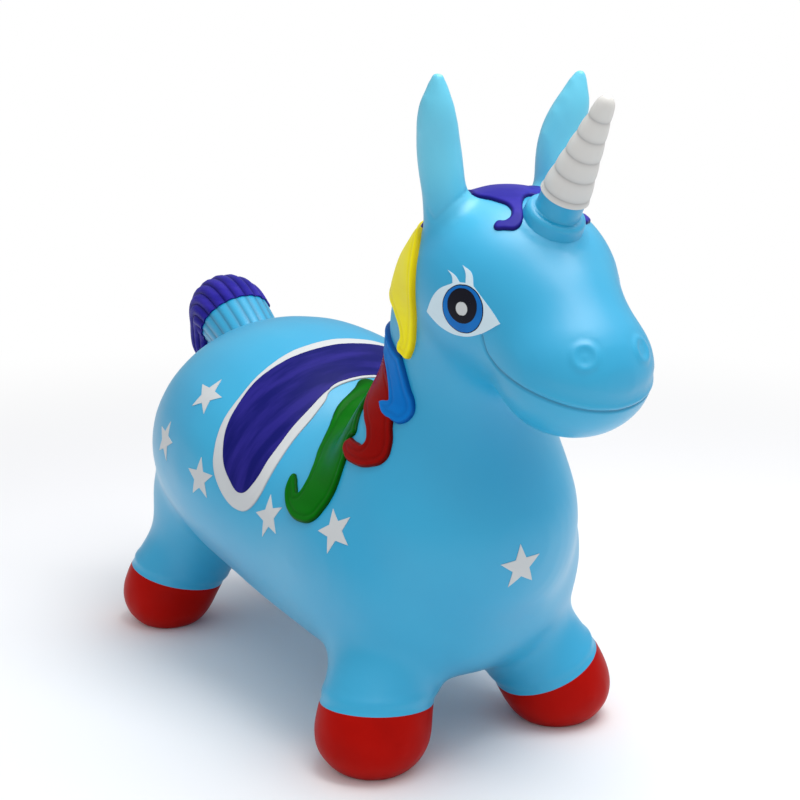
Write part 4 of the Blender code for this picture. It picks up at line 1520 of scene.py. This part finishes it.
@dataclass
class Eyes:
    """Both painted eyes: white with lashes, a dark line, iris, pupil and glint."""

    skin: BlownSkin
    at: tuple[float, float] = (0.2385, 0.377)
    white: Outline = (
        (-0.0345, -0.0065, True), (-0.0215, 0.0112), (-0.0085, 0.0176, True),
        (-0.0098, 0.0220), (-0.0143, 0.0258, True), (-0.0075, 0.0228), (-0.0030, 0.0186, True),
        (0.0020, 0.0186, True), (0.0008, 0.0250), (-0.0028, 0.0300, True), (0.0052, 0.0252),
        (0.0082, 0.0166, True), (0.0170, 0.0074), (0.0298, -0.0078, True),
        (0.0120, -0.0172), (-0.0040, -0.0202), (-0.0200, -0.0163),
    )
    iris: tuple[float, float] = (0.0160, 0.0167)
    pupil: tuple[float, float] = (0.0119, 0.0125)
    pupil_rise: float = 0.0024
    glint: tuple[float, float] = (0.0046, 0.0049)
    glint_rise: float = 0.0006
    line: float = 0.0007
    film: float = 0.0006
    lift: float = 0.00012

    def build(self) -> None:
        """Add the films of the right eye and their mirror images on the left."""
        skin = link("film_skin", self.skin.mesh.copy())
        at = tangent_frame(self.skin.surface, (self.at[0], -1, self.at[1]), (0, 1, 0), self.iris[0])
        start = at @ Matrix.Translation((0, 0, FILM_START))
        ring = tuple(radius + self.line for radius in self.iris)
        films = (
            ("eye_white", self.white, EYE_WHITE, True),
            ("eye_line", ellipse(ring), PUPIL, False),
            ("eye_iris", ellipse(self.iris), IRIS, True),
            ("eye_pupil", ellipse(self.pupil, self.pupil_rise), PUPIL, True),
            ("eye_glint", ellipse(self.glint, self.glint_rise), WHITE, True),
        )
        for order, (name, outline, finish, in_cad) in enumerate(films):
            mesh = applied(
                flat(outline, start), film_tree(), skin=skin, reach=FILM_REACH,
                thickness=self.film + order * self.lift, level=FILM_LEVEL, finish=finish.material(),
            )
            for side, piece in ((Side.LEFT, mirrored(mesh)), (Side.RIGHT, mesh)):
                label = f"{name}_{side.name.lower()}"
                add_piece(label, piece, finish, [label] if in_cad else [])
        bpy.data.objects.remove(skin)


@dataclass
class Stars:
    """The white stars on both flanks and the chest; a flank star has x, z and a turn in degrees."""

    skin: BlownSkin
    flank: Sequence[Point] = (
        (-0.0895, 0.2560, 7), (-0.1320, 0.2095, 6), (-0.0605, 0.1915, 19),
        (0.0340, 0.1790, 38), (0.1265, 0.1905, 48),
    )
    chest_at: tuple[float, float] = (-0.004, 0.1705)
    chest_turn: float = 23
    points: int = 5
    radius: float = 0.0185
    waist: float = 0.43
    film: float = 0.0005

    def tree(self) -> bpy.types.NodeTree:
        """Return the tree that sets a star on every point and lays it on the skin.

        Returns:
            A geometry tree with the inputs Skin, Points, Radius, Waist, Thickness and Finish.
        """
        graph = Graph.shaping(
            "star_field", skin="Object", points="Int", radius="Float", waist="Float", thickness="Float"
        )
        given = graph.node("NodeGroupInput").outputs
        inner = graph.maths("MULTIPLY", given["Radius"], given["Waist"])
        sizes = {"Points": given["Points"], "Inner Radius": inner, "Outer Radius": given["Radius"]}
        filled = graph.first("GeometryNodeFillCurve", {0: graph.first("GeometryNodeCurveStar", sizes)})
        facing = graph.first("GeometryNodeInputNamedAttribute", {"Name": "facing"}, data_type="FLOAT_VECTOR")
        turn = graph.first("FunctionNodeEulerToRotation", {0: facing})
        stand = {"Points": given["Geometry"], "Instance": filled, "Rotation": turn}
        spread = graph.first("GeometryNodeInstanceOnPoints", stand)
        laid = {
            "Geometry": graph.first("GeometryNodeRealizeInstances", {0: spread}),
            "Reach": FILM_REACH,
            "Level": FILM_LEVEL,
            **{name: given[name] for name in ("Skin", "Thickness", "Finish")},
        }
        film = graph.first("GeometryNodeGroup", laid, node_tree=film_tree())
        return graph.finished(film, given["Finish"])

    def build(self) -> None:
        """Add all stars as one piece."""
        places = []
        names = []
        for number, (x, z, turn) in enumerate(self.flank, start=1):
            for side in Side:
                at = tangent_frame(self.skin.surface, (x, side.value, z), (0, -side.value, 0), self.radius)
                lean = turn if side is Side.RIGHT else 180 - turn
                places.append(at @ Matrix.Rotation(math.radians(lean), 4, "Z"))
                names.append(f"star_{number}_{side.name.lower()}")
        at = tangent_frame(self.skin.surface, (1, *self.chest_at), (-1, 0, 0), self.radius)
        places.append(at @ Matrix.Rotation(math.radians(self.chest_turn), 4, "Z"))
        names.append("star_chest")
        mesh = bpy.data.meshes.new("star_points")
        mesh.from_pydata([place @ Vector((0, 0, FILM_START)) for place in places], [], [])
        facing = mesh.attributes.new("facing", "FLOAT_VECTOR", "POINT")
        facing.data.foreach_set("vector", [angle for place in places for angle in place.to_euler()])
        skin = link("film_skin", self.skin.mesh.copy())
        made = applied(
            mesh, self.tree(), skin=skin, points=self.points, radius=self.radius, waist=self.waist,
            thickness=self.film, finish=WHITE.material(),
        )
        bpy.data.objects.remove(skin)
        add_piece("stars", made, WHITE, names)


@dataclass
class Horn:
    """The white horn of stacked rings on its collar."""

    skin: BlownSkin
    length: float = 0.0825
    base: float = 0.0188
    tip: float = 0.0062
    rings: float = 5.38
    phase: float = 0.73
    step: float = 0.0008
    top_bead: float = 5.80
    roundness: float = 0.6
    slant: float = 0.5
    dome_from: float = 0.925
    dome_share: float = 0.985
    samples: int = 201
    facets: int = 64
    gap: float = 0.0003

    def tree(self) -> bpy.types.NodeTree:
        """Return the tree that turns the stacked rings.

        Returns:
            A geometry tree with the inputs Length, Base, Tip, Rings, Phase, Top Bead, Step and Finish.
        """
        sizes = ("length", "base", "tip", "rings", "phase", "top_bead", "step")
        graph = Graph.shaping("ringed_horn", **dict.fromkeys(sizes, "Float"))
        given = graph.node("NodeGroupInput").outputs
        end = graph.first("ShaderNodeCombineXYZ", {"Z": given["Length"]})
        line = graph.first("GeometryNodeCurvePrimitiveLine", {"End": end})
        path = graph.first("GeometryNodeResampleCurve", {"Curve": line, "Count": self.samples})
        along = graph.node("GeometryNodeSplineParameter").outputs["Factor"]
        count = graph.maths("MULTIPLY_ADD", along, given["Rings"], given["Phase"])
        share = graph.maths("FRACT", graph.maths("MINIMUM", count, given["Top Bead"]))
        wave = graph.maths("SINE", graph.maths("MULTIPLY", share, math.pi))
        bead = graph.maths("POWER", wave, self.roundness)
        slanted = graph.maths("MULTIPLY_ADD", share, -self.slant, bead)
        dip = graph.maths("SUBTRACT", slanted, 1.0)
        cone = graph.first("ShaderNodeMapRange", {0: along, 3: given["Base"], 4: given["Tip"]})
        ringed = graph.maths("MULTIPLY_ADD", dip, given["Step"], cone)
        close_to_tip = graph.first("ShaderNodeMapRange", {0: along, 1: self.dome_from, 2: 1.0})
        lost = graph.maths("MULTIPLY", graph.maths("POWER", close_to_tip, 2.0), self.dome_share)
        dome = graph.maths("SQRT", graph.maths("SUBTRACT", 1.0, lost))
        # Painted shade: the grooves between the rings are stored as darker.
        groove = graph.maths("POWER", graph.maths("SUBTRACT", 1.0, bead), 2.0)
        dark = {0: path, "Name": "crease", "Value": groove}
        ring = {"Resolution": self.facets, "Radius": 1.0}
        swept = {
            "Curve": graph.first("GeometryNodeStoreNamedAttribute", dark, domain="POINT"),
            "Profile Curve": graph.first("GeometryNodeCurvePrimitiveCircle", ring),
            "Scale": graph.maths("MULTIPLY", ringed, dome),
            "Fill Caps": True,
        }
        return graph.finished(graph.first("GeometryNodeCurveToMesh", swept), given["Finish"])

    def build(self) -> None:
        """Add the horn on top of the collar."""
        mesh = applied(
            bpy.data.meshes.new("horn_seed"), self.tree(), length=self.length, base=self.base, tip=self.tip,
            rings=self.rings, phase=self.phase, top_bead=self.top_bead, step=self.step,
            finish=HORN.material(),
        )
        mesh.transform(self.skin.horn_frame @ Matrix.Translation((0, 0, self.skin.collar_height + self.gap)))
        add_piece("horn", outward(mesh), HORN, ["horn"])


@dataclass
class Tail:
    """The fluted tail: a blue stub and the purple tuft that caps it."""

    stations: Sequence[Point] = (
        (-0.187, 0.242, 0.0309), (-0.231, 0.275, 0.0345), (-0.271, 0.292, 0.0376),
        (-0.2885, 0.272, 0.0306), (-0.2938, 0.2485, 0.0246), (-0.2948, 0.2370, 0.0090),
    )
    ring: tuple[float, float] = (-0.2495, 0.2915)
    ring_pitch: float = 40
    flutes: int = 20
    depth: float = 0.065
    stub_depth: float = 0.028
    overhang: float = 1.06
    sharpness: float = 0.8
    shade: float = 0.6
    facets: int = 240
    path_steps: int = 12

    def tree(self) -> bpy.types.NodeTree:
        """Return the tree that sweeps a fluted section along a path.

        Returns:
            A geometry tree with the inputs Flutes, Depth, Girth and Finish.
        """
        graph = Graph.shaping("fluted_sweep", flutes="Float", depth="Float", girth="Float")
        given = graph.node("NodeGroupInput").outputs
        path = graph.first("GeometryNodeMeshToCurve", {0: given["Geometry"]})
        ring = graph.first("GeometryNodeCurvePrimitiveCircle", {"Resolution": self.facets, "Radius": 1.0})
        around = graph.node("GeometryNodeSplineParameter").outputs["Factor"]
        angle = graph.maths("MULTIPLY", graph.maths("MULTIPLY", around, given["Flutes"]), math.pi)
        wave = graph.maths("ABSOLUTE", graph.maths("SINE", angle))
        valley = graph.maths("SUBTRACT", 1.0, graph.maths("POWER", wave, self.sharpness))
        scale = graph.maths("SUBTRACT", 1.0, graph.maths("MULTIPLY", valley, given["Depth"]))
        moved = graph.scaled(graph.first("GeometryNodeInputPosition"), scale)
        section = graph.first("GeometryNodeSetPosition", {0: ring, 2: moved})
        # Painted shade: the flute valleys are marked darker.
        dark = {0: section, "Name": "crease", "Value": graph.maths("MULTIPLY", valley, self.shade)}
        radius = graph.first("GeometryNodeInputNamedAttribute", {"Name": "girth"}, data_type="FLOAT")
        swept = {
            "Curve": graph.first("GeometryNodeSetCurveNormal", {0: path}, mode="Z_UP"),
            "Profile Curve": graph.first("GeometryNodeStoreNamedAttribute", dark, domain="POINT"),
            "Scale": graph.maths("MULTIPLY", radius, given["Girth"]),
            "Fill Caps": True,
        }
        return graph.finished(graph.first("GeometryNodeCurveToMesh", swept), given["Finish"])

    def sweep(
        self, tree: bpy.types.NodeTree, girth: float, depth: float, finish: Vinyl, beyond: bool
    ) -> bpy.types.Mesh:
        """Return the part of the fluted tail on one side of its colour ring.

        Args:
            tree: The sweeping tree.
            girth: How much the stations' radii are scaled.
            depth: How deep the flutes are, as a share of the radius.
            finish: The finish.
            beyond: Whether to keep the side beyond the ring.

        Returns:
            A closed mesh.
        """
        path = smooth_path(spine(self.stations), self.path_steps)
        mesh = bpy.data.meshes.new("tail_path")
        mesh.from_pydata(path[:, :3].tolist(), [(i, i + 1) for i in range(len(path) - 1)], [])
        mark(mesh, "girth", path[:, 3])
        swept = outward(applied(
            mesh, tree, flutes=float(self.flutes), depth=depth, girth=girth, finish=finish.material()
        ))
        pitch = math.radians(self.ring_pitch)
        place = (self.ring[0], 0.0, self.ring[1])
        return cut_off(swept, place, (-math.cos(pitch), 0.0, math.sin(pitch)), beyond)

    def build(self) -> None:
        """Add the stub and the tuft."""
        tree = self.tree()
        stub = self.sweep(tree, 1.0 / self.overhang, self.stub_depth, SKY, False)
        add_piece("tail_stub", stub, SKY, [], SKIN_SHARP)
        tuft = self.sweep(tree, 1.0, self.depth, PURPLE, True)
        add_piece("tail_tuft", tuft, PURPLE, ["tail_tuft"], SKIN_SHARP)


@dataclass
class Valve:
    """The air valve under the belly: a moulded seat and the plug that pulls out of it."""

    skin: BlownSkin
    x: float = -0.030
    boss: float = 0.013
    bore: float = 0.005
    proud: float = 0.0026
    depth: float = 0.012
    softness: float = 0.3

    def build(self) -> None:
        """Add the seat and finish the plug."""
        seat = tree_of(self.skin.form).ray_cast(Vector((self.x, 0, -1)), Vector((0, 0, 1)))[0]
        at = Matrix.Translation(seat) @ Matrix.Rotation(math.pi, 4, "X")
        soft = self.proud * self.softness
        profile = (
            (0.0, -self.depth), (self.boss, -self.depth),
            (self.boss, self.proud - soft), (self.boss - soft, self.proud),
            (self.bore + soft, self.proud), (self.bore, self.proud - soft),
            (self.bore, soft - self.depth), (0.0, soft - self.depth),
        )
        add_piece("valve_seat", turned(profile, at), SKY, [])
        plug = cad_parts["valve_plug"]
        plug.data.materials.clear()
        plug.data.materials.append(PLUG.material())


PURE_WHITE = (1.0, 1.0, 1.0, 1.0)


@dataclass
class Studio:
    """The camera, the pale floor and the soft light."""

    centre: Point = (1.16965723, -0.71469063, 0.577)
    azimuth: float = 57.5
    elevation: float = 13.2
    focal_pixels: float = 1631.0
    frame_pixels: float = 800.0
    sensor: float = 36.0
    floor_radius: float = 40.0
    floor_colour: RGB = (0.90, 0.90, 0.91)
    floor_roughness: float = 0.9
    floor_specular: float = 0.2
    fade: tuple[float, float] = (0.55, 1.6)
    sky_tint: RGB = (0.97, 0.98, 1.0)
    light_from: Point = (0.30, -0.10, 0.95)
    dim: float = 0.08
    bright: float = 0.86
    key_at: Point = (0.35, 0.20, 1.50)
    key_size: float = 0.95
    key_power: float = 15.0
    key_aim: Point = (0, 0, 0.25)

    def camera(self) -> None:
        """Set up the photograph's camera."""
        data = bpy.data.cameras.new("photo_camera")
        data.sensor_width = self.sensor
        data.lens = self.focal_pixels / self.frame_pixels * self.sensor
        obj = link("photo_camera", data)
        azimuth, elevation = math.radians(self.azimuth), math.radians(self.elevation)
        level = math.cos(elevation)
        back = Vector((math.sin(azimuth) * level, -math.cos(azimuth) * level, math.sin(elevation)))
        obj.location = CENTRED @ Vector(self.centre)
        obj.rotation_euler = (-back).to_track_quat("-Z", "Y").to_euler()
        bpy.context.scene.camera = obj

    def key(self) -> None:
        """Hang a soft square lamp that faces the middle of the object."""
        data = bpy.data.lights.new("key", "AREA")
        data.size = self.key_size
        data.energy = self.key_power
        obj = link("key", data)
        obj.location = self.key_at
        obj.rotation_euler = (Vector(self.key_aim) - obj.location).to_track_quat("-Z", "Y").to_euler()

    def floor(self) -> None:
        """Lay the pale floor, which fades to white for the camera."""
        def disc(shape: bmesh.types.BMesh) -> None:
            """Add a filled circle."""
            bmesh.ops.create_circle(shape, cap_ends=True, segments=TURN_STEPS, radius=self.floor_radius)

        mesh = reshaped(bpy.data.meshes.new("floor"), disc)
        made = bpy.data.materials.new("pale_floor")
        made.use_nodes = True
        graph = Graph(made.node_tree)
        shader = made.node_tree.nodes["Principled BSDF"]
        graph.feed(shader.inputs["Base Color"], (*self.floor_colour, 1.0))
        graph.feed(shader.inputs["Roughness"], self.floor_roughness)
        graph.feed(shader.inputs["Specular IOR Level"], self.floor_specular)
        place = graph.node("ShaderNodeTexCoord").outputs["Object"]
        away = graph.node("ShaderNodeVectorMath", {0: place}, operation="LENGTH").outputs["Value"]
        near, far = self.fade
        faded = graph.first("ShaderNodeMapRange", {0: away, 1: near, 2: far}, interpolation_type="SMOOTHSTEP")
        glow = graph.first("ShaderNodeEmission", {"Color": PURE_WHITE, "Strength": 1.0})
        seen = graph.node("ShaderNodeLightPath").outputs["Is Camera Ray"]
        share = graph.maths("MULTIPLY", faded, seen)
        mixed = graph.first("ShaderNodeMixShader", {0: share, 1: shader.outputs[0], 2: glow})
        graph.feed(made.node_tree.nodes["Material Output"].inputs["Surface"], mixed)
        mesh.materials.append(made)
        link("floor", mesh)

    def world(self) -> None:
        """Light the scene softly from above and show the camera a white background."""
        world = bpy.data.worlds.new("studio")
        world.use_nodes = True
        bpy.context.scene.world = world
        graph = Graph(world.node_tree)
        soft = world.node_tree.nodes["Background"]
        place = graph.node("ShaderNodeTexCoord").outputs["Generated"]
        along = {0: place, 1: self.light_from}
        facing = graph.node("ShaderNodeVectorMath", along, operation="DOT_PRODUCT").outputs["Value"]
        span = {0: facing, 1: -1.0, 2: 1.0, 3: self.dim, 4: self.bright}
        strength = graph.first("ShaderNodeMapRange", span, interpolation_type="SMOOTHSTEP")
        graph.feed(soft.inputs["Color"], (*self.sky_tint, 1.0))
        graph.feed(soft.inputs["Strength"], strength)
        white = graph.first("ShaderNodeBackground", {"Color": PURE_WHITE, "Strength": 1.0})
        seen = graph.node("ShaderNodeLightPath").outputs["Is Camera Ray"]
        mixed = graph.first("ShaderNodeMixShader", {0: seen, 1: soft.outputs[0], 2: white})
        graph.feed(world.node_tree.nodes["World Output"].inputs["Surface"], mixed)

    def build(self) -> None:
        """Set up camera, floor and light."""
        self.camera()
        self.floor()
        self.world()
        self.key()
        bpy.context.scene.view_settings.view_transform = "Standard"


def main() -> None:
    """Build every sub-assembly and the studio."""
    logging.basicConfig(level=logging.INFO, format="%(name)s %(message)s")
    skin = BlownSkin()
    skin.build()
    relief = Relief(skin)
    Mane(relief).build()
    Saddle(relief).build()
    Eyes(skin).build()
    Stars(skin).build()
    Horn(skin).build()
    Tail().build()
    Valve(skin).build()
    Studio().build()


if __name__ == "__main__":
    main()
